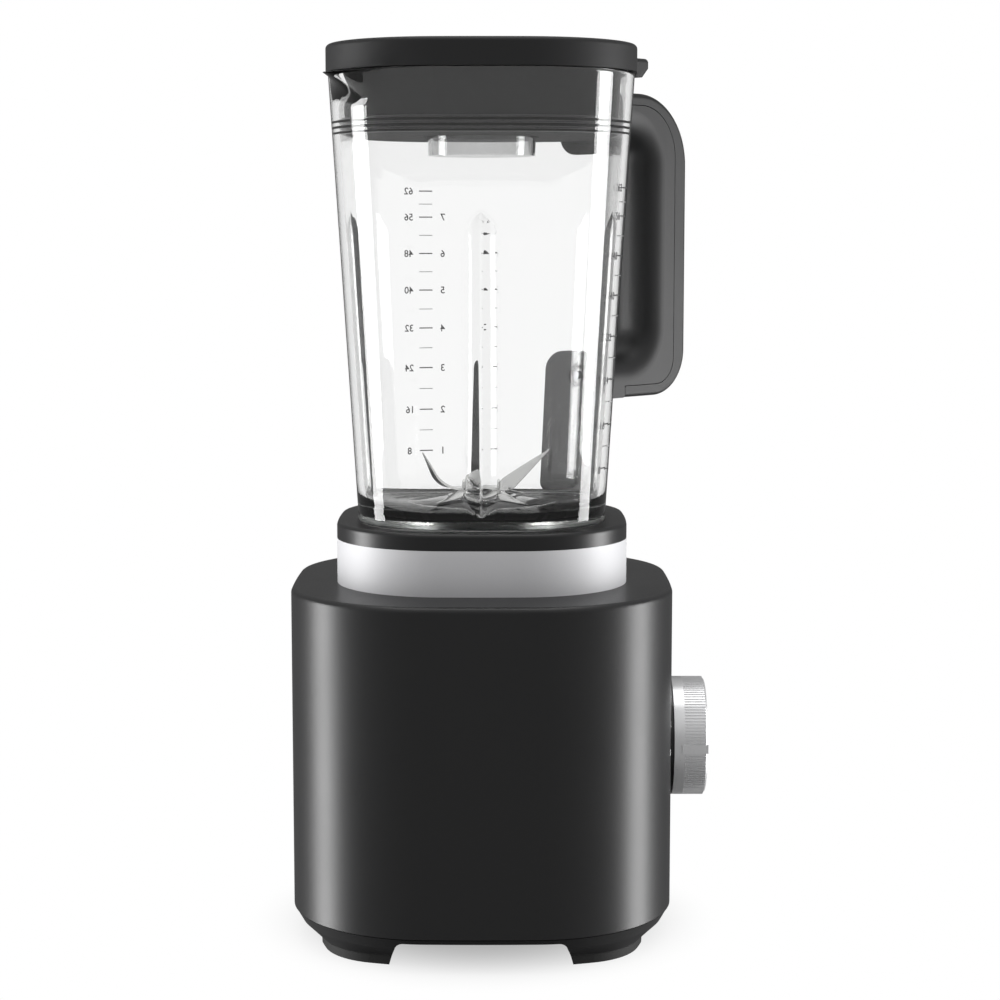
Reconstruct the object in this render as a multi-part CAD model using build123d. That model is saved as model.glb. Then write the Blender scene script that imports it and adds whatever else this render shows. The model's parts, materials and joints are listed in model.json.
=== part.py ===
from build123d import *
from dataclasses import dataclass
from math import atan2, copysign, cos, degrees, pi, sin, sqrt
import os

# Countertop blender. Units are millimetres. The origin is on the worktop under the motor axis,
# +Z is up and +X is the front, where the control knob is. The handle stands over the +X +Y corner
# and the jar pours over the -X -Y corner.

# ---- Driving dimensions: outlines in plan -------------------------------------------------------
BODY_HALF = 88.0  # motor base, from the axis to the middle of a side
BODY_CORNER = 64.0
BODY_BOW = 4.0
SHOULDER_WIDTH = 20.8  # base edge to collar
COLLAR_CORNER = 50.0
COLLAR_BOW = 4.5
SEAT_MARGIN = 10.1  # collar edge to the jar's foot
JAR_CORNER = 38.6  # at the jar's foot
JAR_BOW = 3.3
JAR_FLARE = 12.5  # the jar's wall leans out by this much up to its rim
LID_OVERHANG = 1.0
FOOT_SETBACK = 9.4  # base edge to the rubber feet
FOOT_CORNER = 31.0
FOOT_BOW = 13.0

# ---- Driving dimensions: heights, from the worktop up -------------------------------------------
FOOT_HEIGHT = 4.5
SKIRT_HEIGHT = 11.2
BODY_HEIGHT = 148.2
SHOULDER_RISE = 1.3
COLLAR_HEIGHT = 20.6
PAD_HEIGHT = 7.6
JAR_HEIGHT = 203.0
LID_HEIGHT = 12.6
PLUG_DEPTH = 27.6  # how far the lid's plug reaches below the jar's rim
CAP_DEPTH = 36.2  # how far the centre cap reaches below the jar's rim

# ---- Walls and clearances -----------------------------------------------------------------------
HOUSING_WALL = 3.0
COLLAR_WALL = 3.0
DECK_WALL = 2.5
JAR_WALL = 3.2
JAR_FLOOR = 4.0
LID_WALL = 2.0
CAP_WALL = 2.2
NEST_GAP = 0.2  # between nested mouldings that don't move
LIFT_GAP = 0.3  # between parts that lift or turn past each other
RUNNING_GAP = 0.05  # radial, shaft in bush
SEAT_GAP = 0.02  # radial, bearing in its seat

# ---- Base details -------------------------------------------------------------------------------
CREASE_ROUND = 2.4
SEAM_WIDTH = 0.5
SEAM_DEPTH = 1.5
ARCH_HEIGHT = 13.1
LEG_TOP_WIDTH = 50.5  # from the base's edge to the side of an arch
LEG_FOOT_WIDTH = 46.8
ARCH_ROUND = 4.0
SOLE_SETBACK = 1.0  # the rubber soles stand in from the legs by this much
SKIRT_BEND = 5.2  # the skirt turns in more steeply from this far above the soles' tops
SKIRT_TUCK = 3.6  # base edge to the bend
COVER_LIP_HEIGHT = 6.0
VENT_WIDTH = 3.0
VENT_PITCH = 7.0
VENT_REACH = 38.0
SHOULDER_LEDGE = 9.0  # width of the ledge that carries the collar and deck
PAD_ROUND = 1.8
WELL_RADIUS = 36.0
DECK_FLOOR = 3.5
POST_RADIUS = 5.0
POST_SETBACK = 19.5  # housing screw posts, from the base's corner
POST_TOP = 48.0
WEB_THICKNESS = 2.4
GLAND_SETBACK = 22.0  # base edge to the cord inlet
GLAND_RADIUS = 6.0
GLAND_BORE = 4.0
GLAND_FLANGE = 2.4
GLAND_HEIGHT = 9.5

# ---- Motor --------------------------------------------------------------------------------------
SHAFT_RADIUS = 4.0
STATOR_LENGTH = 96.0
STATOR_WIDTH = 84.0
STATOR_CORNER = 10.0
MOTOR_DROP = 8.2  # underside of the collar to the motor's rubber mounts
FAN_LIFT = 12.3  # seam to the fan's lower edge
ARMATURE_RADIUS = 26.0
AIR_GAP = 1.0
ARMATURE_SLOTS = 12
COIL_THICKNESS = 9.0
COIL_OVERHANG = 9.0
COIL_INNER_ANGLE = 46.0
COIL_OUTER_ANGLE = 61.0
SLOT_MARGIN = 1.0  # degrees of slot beyond the coil on each side
WINDING_RADIUS = 21.0
WINDING_HEIGHT = 8.0
COMMUTATOR_RADIUS = 15.0
COMMUTATOR_HEIGHT = 17.0
COMMUTATOR_BARS = 24
BRACKET_THICKNESS = 4.0
BRACKET_WIDTH = 34.0
BEARING_RADIUS = 11.0
BEARING_HEIGHT = 7.0
BEARING_LIP = 1.5
CUP_WALL = 4.0
LOWER_SPAN = 37.0  # stack bottom to lower bracket
UPPER_SPAN = 14.0  # stack top to upper bracket
BRUSH_SIDE = 7.0
BRUSH_LENGTH = 20.0
BRUSH_HOLDER_WALL = 1.5
FAN_RADIUS = 43.0
FAN_HEIGHT = 14.0
FAN_BLADES = 11
FAN_HUB = 9.0
FAN_BLADE_THICKNESS = 1.6
FAN_GAP = 2.0  # fan tip to shroud
SHROUD_WALL = 2.4
SHAFT_BELOW_FAN = 3.0
GROMMET_RADIUS = 7.0
GROMMET_HEIGHT = 4.0
MOUNT_INSET = 10.0  # motor screws, from the stator's end
MOUNT_Y = 12.0
SCREW_RADIUS = 2.0
SCREW_HEAD_RADIUS = 3.8
SCREW_HEAD_HEIGHT = 2.8
SCREW_BITE = 9.0

# ---- Coupling between motor and jar -------------------------------------------------------------
COUPLING_RADIUS = 17.0
COUPLING_HEIGHT = 13.0
COUPLING_FLOOR = 4.0
COUPLING_TEETH = 6
TOOTH_TIP = 12.5
TOOTH_ROOT = 9.0
TOOTH_HEIGHT = 7.5
TIP_SHARE = 0.2  # of the pitch, from a tooth's middle to the edge of its tip
ROOT_SHARE = 0.3
COUPLING_DROP = 25.0  # the driving cup's foot, below the jar seat

# ---- Control knob -------------------------------------------------------------------------------
KNOB_RADIUS = 27.9
KNOB_HEIGHT = 88.2  # knob axis above the worktop
KNOB_LENGTH = 15.5
KNOB_BAND = 4.9
KNOB_WALL = 2.5
KNOB_RIBS = 120
RIB_GROOVE = 0.45
RIB_SHARE = 0.5  # of the pitch, the crest of a rib
FLANK_SHARE = 0.1
KNOB_CHAMFER = 0.8
POINTER_ANGLE = 181.0
POINTER_WIDTH = 4.2
POINTER_RISE = 1.1
POINTER_LENGTH = 12.0
BEZEL_RADIUS = 27.2
BEZEL_THICKNESS = 1.7
BEZEL_RECESS = 0.7
SPINDLE_RADIUS = 3.0
SWITCH_SIDE = 22.0
SWITCH_DEPTH = 12.0
SWITCH_SETBACK = 7.0  # switch body to the housing's inner face
BUSH_RADIUS = 4.5
BOARD_THICKNESS = 1.6
BOARD_WIDTH = 60.0
BOARD_HEIGHT = 64.0
BOARD_SCREW_INSET = 6.0
BOARD_POST_RADIUS = 3.5
BOARD_SCREW_RADIUS = 1.4

# ---- Jar ----------------------------------------------------------------------------------------
FLOOR_RISE = 7.4  # centre of the jar's floor above the jar seat
DOME_SETBACK = 10.4  # the jar's foot to the rising part of its floor
FLOOR_ROUND = 9.0
HUB_RECESS_RADIUS = 34.0
HUB_RECESS_DEPTH = 2.6
JAR_FOOT_ROUND = 1.5
RIB_WIDTH = 15.4
RIB_DEPTH = 4.6
RIB_TOP = 134.5  # full rib depth ends here, above the jar seat
RIB_POINT = 142.6
SPOUT_DROP = 16.0
SPOUT_REACH = 18.0  # lip beyond the jar's corner, before it is dipped and rounded
SPOUT_WIDTH = 32.5  # along each side of the rim, from its corner
SPOUT_ROUND = 4.0
SPOUT_DIP = 2.4
STEM_RADIUS = 12.8
STEM_LENGTH = 17.0
HUB_FLANGE_RADIUS = 16.0
HUB_FLANGE = 1.2
HUB_LEDGE = 3.0  # level floor round the hub's flange
FLOOR_GASKET = 0.6
JAR_BEARING_RADIUS = 9.5
JAR_BEARING_HEIGHT = 6.0
SEAL_HEIGHT = 2.5
NUT_RADIUS = 32.0
NUT_HEIGHT = 9.0
NUT_LUGS = 8
LUG_DEPTH = 3.0

# ---- Blades -------------------------------------------------------------------------------------
BLADE_THICKNESS = 1.2
BLADE_HUB = 8.0
PRONG_WIDTH = 12.0
PRONG_TIP_WIDTH = 1.4
WASHER_HEIGHT = 0.5
NUT_FLATS = 13.0
BLADE_NUT_HEIGHT = 3.0
CURVED_BEND = 27.0  # from the axis to the corner of the bend
CURVED_BEND_ROUND = 15.0
CURVED_REACH = 30.0
CURVED_RISE = 19.5
SLANTED_BEND = 13.0
SLANTED_REACH = 34.0
SLANTED_RISE = 17.0
LOW_BEND = 17.0
LOW_REACH = 33.5
LOW_BEND_ROUND = 4.0
MIDDLE_DROOP = 1.5
BOTTOM_DROOP = 2.6
CURVED_AZIMUTH = 178.0
SLANTED_AZIMUTH = -4.0
MIDDLE_AZIMUTH = 52.0
BOTTOM_AZIMUTH = -53.0

# ---- Handle -------------------------------------------------------------------------------------
HANDLE_TURN = 45.0
HANDLE_PROJECTION = 52.7  # beyond the rim's corner
HANDLE_TOP_DROP = 4.4  # below the rim
HANDLE_HEIGHT = 147.0
GRIP_DEPTH = 29.0
GRIP_WIDTH = 28.0
ARM_HEIGHT = 20.5
HANDLE_TOP_ROUND = 34.0
HANDLE_FOOT_ROUND = 22.0
WINDOW_ROUND = 14.0
GRIP_ROUND = 12.5
HANDLE_EDGE_ROUND = 2.5
GRIP_COVER = 9.0  # depth of the cover strip at the grip
ARM_COVER = 5.5  # depth of the cover strip above and below the arms
COVER_SEAM = 0.35
COVER_END = 20.0  # the cover strip starts this far out from the jar's foot corner
COVER_ROUND = 1.5
LOWER_MOUNT_WALL = 5.0
UPPER_MOUNT_WALL = 3.0
MOUNT_GAP = 0.15
LOWER_MOUNT_WIDTH = 38.0
UPPER_MOUNT_WIDTH = 34.0
LOWER_MOUNT_RISE = 22.6  # above the handle's lower edge
LOWER_MOUNT_BOTTOM = 1.0
UPPER_MOUNT_HEIGHT = 29.5
MOUNT_ROUND = 9.0
BOSS_RADIUS = 5.0
BOSS_LENGTH = 6.5
BOSS_INSET = 11.0  # boss to the handle's outer edge
HANDLE_SCREW_BACK = 8.0  # boss face to screw head

# ---- Lid and cap --------------------------------------------------------------------------------
LID_ROUND = 2.0
LID_TOP = 2.8
LID_SEAM = 0.3
TAB_REACH = 25.4  # beyond the lid's corner
TAB_WIDTH = 25.0
TAB_THICKNESS = 9.0
TAB_CHAMFER = 4.0
TAB_ROUND = 3.0
PLUG_FLANGE = 3.0
PLUG_WALL = 2.0
PLUG_GAP = 3.0  # plug to the jar's wall
GASKET_HEIGHT = 7.2
GASKET_RIDGES = 3
RIDGE_PITCH = 2.5
RIDGE_HEIGHT = 1.1
RIDGE_TOP = 21.4  # highest ridge below the rim
RIDGE_DEPTH = 1.2
CAP_RADIUS = 24.7
CAP_DRAFT = 1.6
CAP_FLANGE_RADIUS = 31.0
CAP_FLANGE = 3.5
CAP_BAR = 9.0
CAP_POCKET = 9.0
CAP_POCKET_RADIUS = 21.0
CAP_TURN = 0.0  # direction of the finger bar

# ---- Levels and outlines worked out from the sizes above ----------------------------------------
SEAM_Z = FOOT_HEIGHT + SKIRT_HEIGHT
CREASE_Z = SEAM_Z + BODY_HEIGHT
COLLAR_Z = CREASE_Z + SHOULDER_RISE
PAD_Z = COLLAR_Z + COLLAR_HEIGHT
SEAT_Z = PAD_Z + PAD_HEIGHT
RIM_Z = SEAT_Z + JAR_HEIGHT
TOP_Z = RIM_Z + LID_HEIGHT


@dataclass(frozen=True)
class Plan:
    """A square with rounded corners and bowed sides, centred on the axis."""

    half: float
    corner: float
    bow: float

    @property
    def side_radius(self):
        flat = self.half - self.bow
        return (flat**2 + self.bow**2) / (2 * self.bow)

    @property
    def side_centre(self):
        return self.half - self.side_radius

    @property
    def corner_centre(self):
        """Both coordinates of the centre of a corner, whose arc runs smoothly into the sides."""
        between = self.side_radius - self.corner
        return (self.side_centre + sqrt(2 * between**2 - self.side_centre**2)) / 2

    def reach(self, inset=0.0):
        """Distance from the axis to the outline on the diagonal."""
        return self.corner_centre * sqrt(2) + self.corner - inset

    def face(self, z, inset=0.0):
        """The outline as a flat face at height z, moved inwards by inset."""
        centre = self.corner_centre
        turn = degrees(atan2(centre, centre - self.side_centre))
        spoke = Vector(self.side_radius - inset, 0)
        places = [(self.side_centre, 0) + spoke.rotate(Axis.Z, angle) for angle in (-turn, 0, turn)]
        side = ThreePointArc(*places)
        bend = CenterArc((centre, centre), self.corner - inset, turn, 90 - 2 * turn)
        edges = [edge.rotate(Axis.Z, 90 * quarter) for quarter in range(4) for edge in (side, bend)]
        return Pos(0, 0, z) * Face(Wire(edges))

    def prism(self, low, high, inset=0.0):
        return extrude(self.face(low, inset), high - low)


BODY = Plan(BODY_HALF, BODY_CORNER, BODY_BOW)
COLLAR = Plan(BODY_HALF - SHOULDER_WIDTH, COLLAR_CORNER, COLLAR_BOW)
FEET = Plan(BODY_HALF - FOOT_SETBACK, FOOT_CORNER, FOOT_BOW)
JAR = Plan(COLLAR.half - SEAT_MARGIN, JAR_CORNER, JAR_BOW)
LID_INSET = -(JAR_FLARE + LID_OVERHANG)  # the lid's outline, measured from the jar's foot
DECK_INSET = COLLAR_WALL + NEST_GAP

HALF_TURN = 180.0
UPWARDS = (Align.CENTER, Align.CENTER, Align.MIN)
CORNERS = [(x, y) for x in (-1, 1) for y in (-1, 1)]


# ---- Small shapes used by many pieces -----------------------------------------------------------
def cylinder(radius, low, high, at=(0, 0)):
    """Upright cylinder between two heights."""
    return Pos(*at, low) * Cylinder(radius, high - low, align=UPWARDS)


def tube(outer, inner, low, high, at=(0, 0)):
    return cylinder(outer, low, high, at) - cylinder(inner, low, high, at)


def rod(radius, low, high, at):
    """Cylinder along +X between two x values, centred on (y, z)."""
    return Pos(low, *at) * Rot(0, 90, 0) * Cylinder(radius, high - low, align=UPWARDS)


def block(x, y, z):
    """Box from three (low, high) pairs."""
    spans = (x, y, z)
    centre = [(low + high) / 2 for low, high in spans]
    return Pos(*centre) * Box(*(high - low for low, high in spans))


def sector(inner, outer, start, end, low, high):
    """Upright slice of a ring, between two angles in degrees."""
    size = end - start
    arcs = [CenterArc((0, 0), radius, start, size) for radius in (inner, outer)]
    sides = [Line(arcs[0] @ place, arcs[1] @ place) for place in (0, 1)]
    return extrude(Pos(0, 0, low) * make_face(arcs + sides), high - low)


def to_corner(piece, turn=HANDLE_TURN):
    """Turns a piece built along +X so that it lies along a corner's diagonal."""
    return Rot(0, 0, turn) * piece


def on_circle(piece, count):
    return [Rot(0, 0, 360 * index / count) * piece for index in range(count)]


def jar_inset(z):
    """How far the jar's outside stands from its foot outline at height z (negative is outwards)."""
    return -JAR_FLARE * (z - SEAT_Z) / JAR_HEIGHT


def jar_block(inset=0.0, low=SEAT_Z, high=RIM_Z):
    """The jar's outside as one solid between two heights, moved inwards by inset."""
    ends = [JAR.face(z, jar_inset(z) + inset) for z in (low, high)]
    return loft(ends, ruled=True)


# ---- Base shell ---------------------------------------------------------------------------------
POST_REACH = BODY.reach(POST_SETBACK)
POST_PLACES = [(sx * POST_REACH / sqrt(2), sy * POST_REACH / sqrt(2)) for sx, sy in CORNERS]
COVER_LIP_TOP = SEAM_Z + COVER_LIP_HEIGHT
KNOB_AXIS = (0, KNOB_HEIGHT)
BEZEL_FACE = BODY_HALF - BEZEL_RECESS
INNER_FACE = BODY_HALF - HOUSING_WALL
THREAD = SCREW_RADIUS + SEAT_GAP


def boss_face(z):
    """Distance from the axis to the end of the jar's screw boss at height z."""
    return JAR.reach(jar_inset(z)) + BOSS_LENGTH


def housing():
    shell = BODY.prism(SEAM_Z, CREASE_Z)
    shoulder = loft([BODY.face(CREASE_Z), COLLAR.face(COLLAR_Z)], ruled=True)
    body = shell + shoulder
    crease = body.edges().filter_by(lambda edge: abs(edge.center().Z - CREASE_Z) < SEAT_GAP)
    body = fillet(crease, CREASE_ROUND)
    ceiling = CREASE_Z - HOUSING_WALL
    throat = COLLAR_Z - HOUSING_WALL
    under_shoulder = [BODY.face(ceiling, HOUSING_WALL), COLLAR.face(throat, SHOULDER_LEDGE)]
    inside = BODY.prism(SEAM_Z, ceiling, HOUSING_WALL) + loft(under_shoulder, ruled=True)
    body -= inside + COLLAR.prism(throat, COLLAR_Z, SHOULDER_LEDGE)
    web_end = BODY.reach(HOUSING_WALL / 2)
    web_low = COVER_LIP_TOP + LIFT_GAP
    web = block((POST_REACH, web_end), (-WEB_THICKNESS / 2, WEB_THICKNESS / 2), (web_low, POST_TOP))
    for piece in on_circle(to_corner(web), 4):
        body += piece
    for place in POST_PLACES:
        body += cylinder(POST_RADIUS, SEAM_Z, POST_TOP, place)
    for place in POST_PLACES:
        body -= cylinder(THREAD, SEAM_Z, POST_TOP - WEB_THICKNESS, place)
    for y, z in BOARD_SCREWS:
        body += rod(BOARD_POST_RADIUS, BOARD_FRONT, INNER_FACE + HOUSING_WALL / 2, (y, z))
        body -= rod(BOARD_SCREW_RADIUS + SEAT_GAP, BOARD_FRONT, INNER_FACE, (y, z))
    body -= rod(BEZEL_RADIUS + NEST_GAP, BEZEL_FACE, BODY_HALF, KNOB_AXIS)
    return body - rod(BUSH_RADIUS + NEST_GAP, INNER_FACE - HOUSING_WALL, BEZEL_FACE, KNOB_AXIS)


def collar():
    return COLLAR.prism(COLLAR_Z, PAD_Z) - COLLAR.prism(COLLAR_Z, PAD_Z, COLLAR_WALL)


def deck():
    """Frame inside the collar: it carries the pad above and hangs the motor below."""
    floor_top = COLLAR_Z + DECK_FLOOR
    frame = COLLAR.prism(COLLAR_Z, PAD_Z, DECK_INSET)
    frame -= COLLAR.prism(floor_top, PAD_Z, DECK_INSET + DECK_WALL)
    frame += tube(WELL_RADIUS + DECK_WALL, WELL_RADIUS, COLLAR_Z, PAD_Z)
    frame -= cylinder(DECK_HOLE, COLLAR_Z, floor_top)
    for place in MOTOR_MOUNTS:
        frame += cylinder(POST_RADIUS, GROMMET_TOP, COLLAR_Z, place)
    for place in MOTOR_MOUNTS:
        frame -= cylinder(THREAD, GROMMET_TOP, GROMMET_TOP + SCREW_BITE, place)
    return frame


def seat_pad():
    pad = COLLAR.prism(PAD_Z, SEAT_Z)
    pad = fillet(pad.edges().group_by(Axis.Z)[-1], PAD_ROUND)
    return pad - cylinder(WELL_RADIUS, PAD_Z, SEAT_Z)


def arches():
    """The two passages under the base, between the legs."""
    top, foot = BODY_HALF - LEG_TOP_WIDTH, BODY_HALF - LEG_FOOT_WIDTH
    outline = Polygon((-foot, 0), (foot, 0), (top, ARCH_HEIGHT), (-top, ARCH_HEIGHT), align=None)
    outline = fillet(outline.vertices().group_by(Axis.Y)[-1], ARCH_ROUND)
    passage = extrude(Plane.XZ * outline, BODY_HALF + ARCH_ROUND, both=True)
    return [passage, Rot(0, 0, 90) * passage]


def bottom_cover():
    bend = BODY.face(FOOT_HEIGHT + SKIRT_BEND, SKIRT_TUCK)
    edge = BODY.face(SEAM_Z - SEAM_WIDTH, SEAM_WIDTH)
    cover = loft([FEET.face(FOOT_HEIGHT, -SOLE_SETBACK), bend, edge], ruled=True) + BODY.prism(SEAM_Z - SEAM_WIDTH, SEAM_Z, SEAM_DEPTH)
    lip_inset = HOUSING_WALL + NEST_GAP
    cover += BODY.prism(SEAM_Z, COVER_LIP_TOP, lip_inset) - BODY.prism(
        SEAM_Z, COVER_LIP_TOP, lip_inset + DECK_WALL
    )
    for passage in arches():
        cover -= passage
    for place in POST_PLACES:
        cover -= cylinder(SCREW_RADIUS + NEST_GAP, FOOT_HEIGHT, SEAM_Z, place)
        cover -= cylinder(SCREW_HEAD_RADIUS + NEST_GAP, FOOT_HEIGHT, COVER_SCREW_Z, place)
    rows = int(VENT_REACH / VENT_PITCH)
    for row in range(-rows, rows + 1):
        y = row * VENT_PITCH
        half = sqrt(VENT_REACH**2 - y**2)
        cover -= block((-half, half), (y - VENT_WIDTH / 2, y + VENT_WIDTH / 2), (ARCH_HEIGHT, SEAM_Z))
    return cover - cylinder(GLAND_RADIUS + NEST_GAP, ARCH_HEIGHT, SEAM_Z, GLAND_PLACE)


def feet():
    soles = FEET.prism(0, FOOT_HEIGHT)
    for passage in arches():
        soles -= passage
    return soles.solids()


COVER_SCREW_Z = FOOT_HEIGHT + SCREW_HEAD_HEIGHT + LIFT_GAP
GLAND_PLACE = (GLAND_SETBACK - BODY_HALF, 0)


def screw(low, high, head_low, place):
    """Upright screw with its head below."""
    return cylinder(SCREW_RADIUS, low, high, place) + cylinder(SCREW_HEAD_RADIUS, head_low, low, place)


def cover_screws():
    head_low = COVER_SCREW_Z - SCREW_HEAD_HEIGHT
    return [screw(COVER_SCREW_Z, SEAM_Z + SCREW_BITE, head_low, place) for place in POST_PLACES]


def cord_gland():
    flange_low = ARCH_HEIGHT - GLAND_FLANGE
    gland = cylinder(GLAND_RADIUS, flange_low, flange_low + GLAND_HEIGHT, GLAND_PLACE)
    gland += cylinder(GLAND_RADIUS + GLAND_FLANGE, flange_low, ARCH_HEIGHT, GLAND_PLACE)
    return gland - cylinder(GLAND_BORE, flange_low, flange_low + GLAND_HEIGHT, GLAND_PLACE)


# ---- Motor --------------------------------------------------------------------------------------
# The upper bracket hangs from the deck and the fan stands off the bottom cover, and the stack of
# laminations fills the height between.
GROMMET_TOP = COLLAR_Z - MOTOR_DROP
UPPER_PLATE_TOP = GROMMET_TOP - GROMMET_HEIGHT
UPPER_PLATE = UPPER_PLATE_TOP - BRACKET_THICKNESS
STACK_TOP = UPPER_PLATE - UPPER_SPAN
FAN_LOW = SEAM_Z + FAN_LIFT
FAN_TOP = FAN_LOW + FAN_HEIGHT
LOWER_PLATE = FAN_TOP + FAN_GAP
LOWER_PLATE_TOP = LOWER_PLATE + BRACKET_THICKNESS
STACK_BOTTOM = LOWER_PLATE_TOP + LOWER_SPAN
BORE_RADIUS = ARMATURE_RADIUS + AIR_GAP
MOUNT_X = STATOR_LENGTH / 2 - MOUNT_INSET
MOTOR_MOUNTS = [(sx * MOUNT_X, sy * MOUNT_Y) for sx, sy in CORNERS]
COUPLING_Z = SEAT_Z - COUPLING_DROP
SOCKET_Z = COUPLING_Z + COUPLING_FLOOR
COUPLING_TOP = COUPLING_Z + COUPLING_HEIGHT
DECK_HOLE = COUPLING_RADIUS + FAN_GAP
SHAFT_BORE = SHAFT_RADIUS + SEAT_GAP
COMMUTATOR_TOP = STACK_BOTTOM - WINDING_HEIGHT - AIR_GAP
BRUSH_Z = COMMUTATOR_TOP - COMMUTATOR_HEIGHT / 2
UPPER_BEARING_TOP = UPPER_PLATE_TOP - BEARING_LIP
LOWER_BEARING_LOW = LOWER_PLATE + BEARING_LIP


def stator():
    stack = RectangleRounded(STATOR_LENGTH, STATOR_WIDTH, STATOR_CORNER)
    core = extrude(Pos(0, 0, STACK_BOTTOM) * stack, STACK_TOP - STACK_BOTTOM)
    core -= cylinder(BORE_RADIUS, STACK_BOTTOM, STACK_TOP)
    slot_outer = BORE_RADIUS + COIL_THICKNESS + 2 * AIR_GAP
    slot_inner = BORE_RADIUS - AIR_GAP
    angles = (COIL_INNER_ANGLE - SLOT_MARGIN, COIL_OUTER_ANGLE + SLOT_MARGIN)
    slot = sector(slot_inner, slot_outer, *angles, STACK_BOTTOM, STACK_TOP)
    for cut in on_circle(slot, 2) + on_circle(mirror(slot, Plane.XZ), 2):
        core -= cut
    return core


def field_coils():
    """One coil around each pole: two end turns joined by two legs through the slots."""
    inner = BORE_RADIUS + AIR_GAP
    outer = inner + COIL_THICKNESS
    low, high = STACK_BOTTOM - COIL_OVERHANG, STACK_TOP + COIL_OVERHANG
    coil = sector(inner, outer, -COIL_OUTER_ANGLE, COIL_OUTER_ANGLE, low, high)
    pole = (STACK_BOTTOM - LIFT_GAP, STACK_TOP + LIFT_GAP)
    coil -= sector(inner - AIR_GAP, outer + AIR_GAP, -COIL_INNER_ANGLE, COIL_INNER_ANGLE, *pole)
    return on_circle(coil, 2)


def bracket(plate_low, width, legs_low, legs_high):
    """Cross plate with two legs that stand on the stator's ends."""
    half = STATOR_LENGTH / 2
    side = (-BRACKET_WIDTH / 2, BRACKET_WIDTH / 2)
    plate = block((-half, half), (-width / 2, width / 2), (plate_low, plate_low + BRACKET_THICKNESS))
    for inner, outer in ((-half, BRACKET_THICKNESS - half), (half - BRACKET_THICKNESS, half)):
        plate += block((inner, outer), side, (legs_low, legs_high))
    return plate


def bearing_cup(plate, low, high, pocket_low, pocket_high):
    """Adds a cup for a bearing to a bracket and opens its shaft hole."""
    plate += cylinder(BEARING_RADIUS + CUP_WALL, low, high)
    plate -= cylinder(BEARING_RADIUS + SEAT_GAP, pocket_low, pocket_high)
    return plate - cylinder(SHAFT_RADIUS + FAN_GAP, low, high)


def upper_bracket():
    plate = bracket(UPPER_PLATE, BRACKET_WIDTH, STACK_TOP, UPPER_PLATE)
    low = UPPER_BEARING_TOP - BEARING_HEIGHT
    plate = bearing_cup(plate, low, UPPER_PLATE_TOP, low, UPPER_BEARING_TOP)
    for place in MOTOR_MOUNTS:
        plate -= cylinder(SCREW_RADIUS + NEST_GAP, UPPER_PLATE, UPPER_PLATE_TOP, place)
    return plate


def lower_bracket():
    plate = bracket(LOWER_PLATE, STATOR_WIDTH, LOWER_PLATE_TOP, STACK_BOTTOM)
    high = LOWER_BEARING_LOW + BEARING_HEIGHT
    return bearing_cup(plate, LOWER_PLATE, high, LOWER_BEARING_LOW, high)


def motor_bearings():
    lows = (LOWER_BEARING_LOW, UPPER_BEARING_TOP - BEARING_HEIGHT)
    return [tube(BEARING_RADIUS, SHAFT_RADIUS + SEAT_GAP, low, low + BEARING_HEIGHT) for low in lows]


def motor_grommets():
    bore = SCREW_RADIUS + NEST_GAP
    return [tube(GROMMET_RADIUS, bore, UPPER_PLATE_TOP, GROMMET_TOP, place) for place in MOTOR_MOUNTS]


def motor_screws():
    head_low = UPPER_PLATE - SCREW_HEAD_HEIGHT
    top = GROMMET_TOP + SCREW_BITE - NEST_GAP
    return [screw(UPPER_PLATE, top, head_low, place) for place in MOTOR_MOUNTS]


def brush_tunnel(margin, start, end):
    """Square bar across Y at the commutator's middle height."""
    half = BRUSH_SIDE / 2 + margin
    return block((-half, half), (start, end), (BRUSH_Z - half, BRUSH_Z + half))


def brushes():
    start = COMMUTATOR_RADIUS + LIFT_GAP
    return on_circle(brush_tunnel(0, start, start + BRUSH_LENGTH), 2)


def brush_holders():
    start = COMMUTATOR_RADIUS + CUP_WALL
    end = COMMUTATOR_RADIUS + BRUSH_LENGTH + CUP_WALL
    margin = BRUSH_HOLDER_WALL + NEST_GAP
    half = BRUSH_SIDE / 2 + margin
    holder = brush_tunnel(margin, start, end) - brush_tunnel(NEST_GAP, start, end)
    foot_low, foot_high = end - 2 * CUP_WALL, end - CUP_WALL
    holder += block((-half, half), (foot_low, foot_high), (LOWER_PLATE_TOP, BRUSH_Z - half))
    return on_circle(holder, 2)


def fan_shroud():
    inner = FAN_RADIUS + FAN_GAP
    return tube(inner + SHROUD_WALL, inner, SEAM_Z, FAN_TOP)


def motor_shaft():
    return cylinder(SHAFT_RADIUS, FAN_LOW - SHAFT_BELOW_FAN, SOCKET_Z - COUPLING_FLOOR / 2)


def armature_core():
    core = tube(ARMATURE_RADIUS, SHAFT_BORE, STACK_BOTTOM, STACK_TOP)
    width = (-VENT_WIDTH / 2, VENT_WIDTH / 2)
    slot = block((COMMUTATOR_RADIUS, ARMATURE_RADIUS), width, (STACK_BOTTOM, STACK_TOP))
    for cut in on_circle(slot, ARMATURE_SLOTS):
        core -= cut
    return core


def armature_windings():
    ends = ((STACK_BOTTOM - WINDING_HEIGHT, STACK_BOTTOM), (STACK_TOP, STACK_TOP + WINDING_HEIGHT))
    return [tube(WINDING_RADIUS, SHAFT_BORE, low, high) for low, high in ends]


def commutator():
    low = COMMUTATOR_TOP - COMMUTATOR_HEIGHT
    drum = tube(COMMUTATOR_RADIUS, SHAFT_BORE, low, COMMUTATOR_TOP)
    depth = (COMMUTATOR_RADIUS - AIR_GAP, COMMUTATOR_RADIUS)
    groove = block(depth, (-NEST_GAP, NEST_GAP), (low, COMMUTATOR_TOP))
    for cut in on_circle(groove, COMMUTATOR_BARS):
        drum -= cut
    return drum


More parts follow.
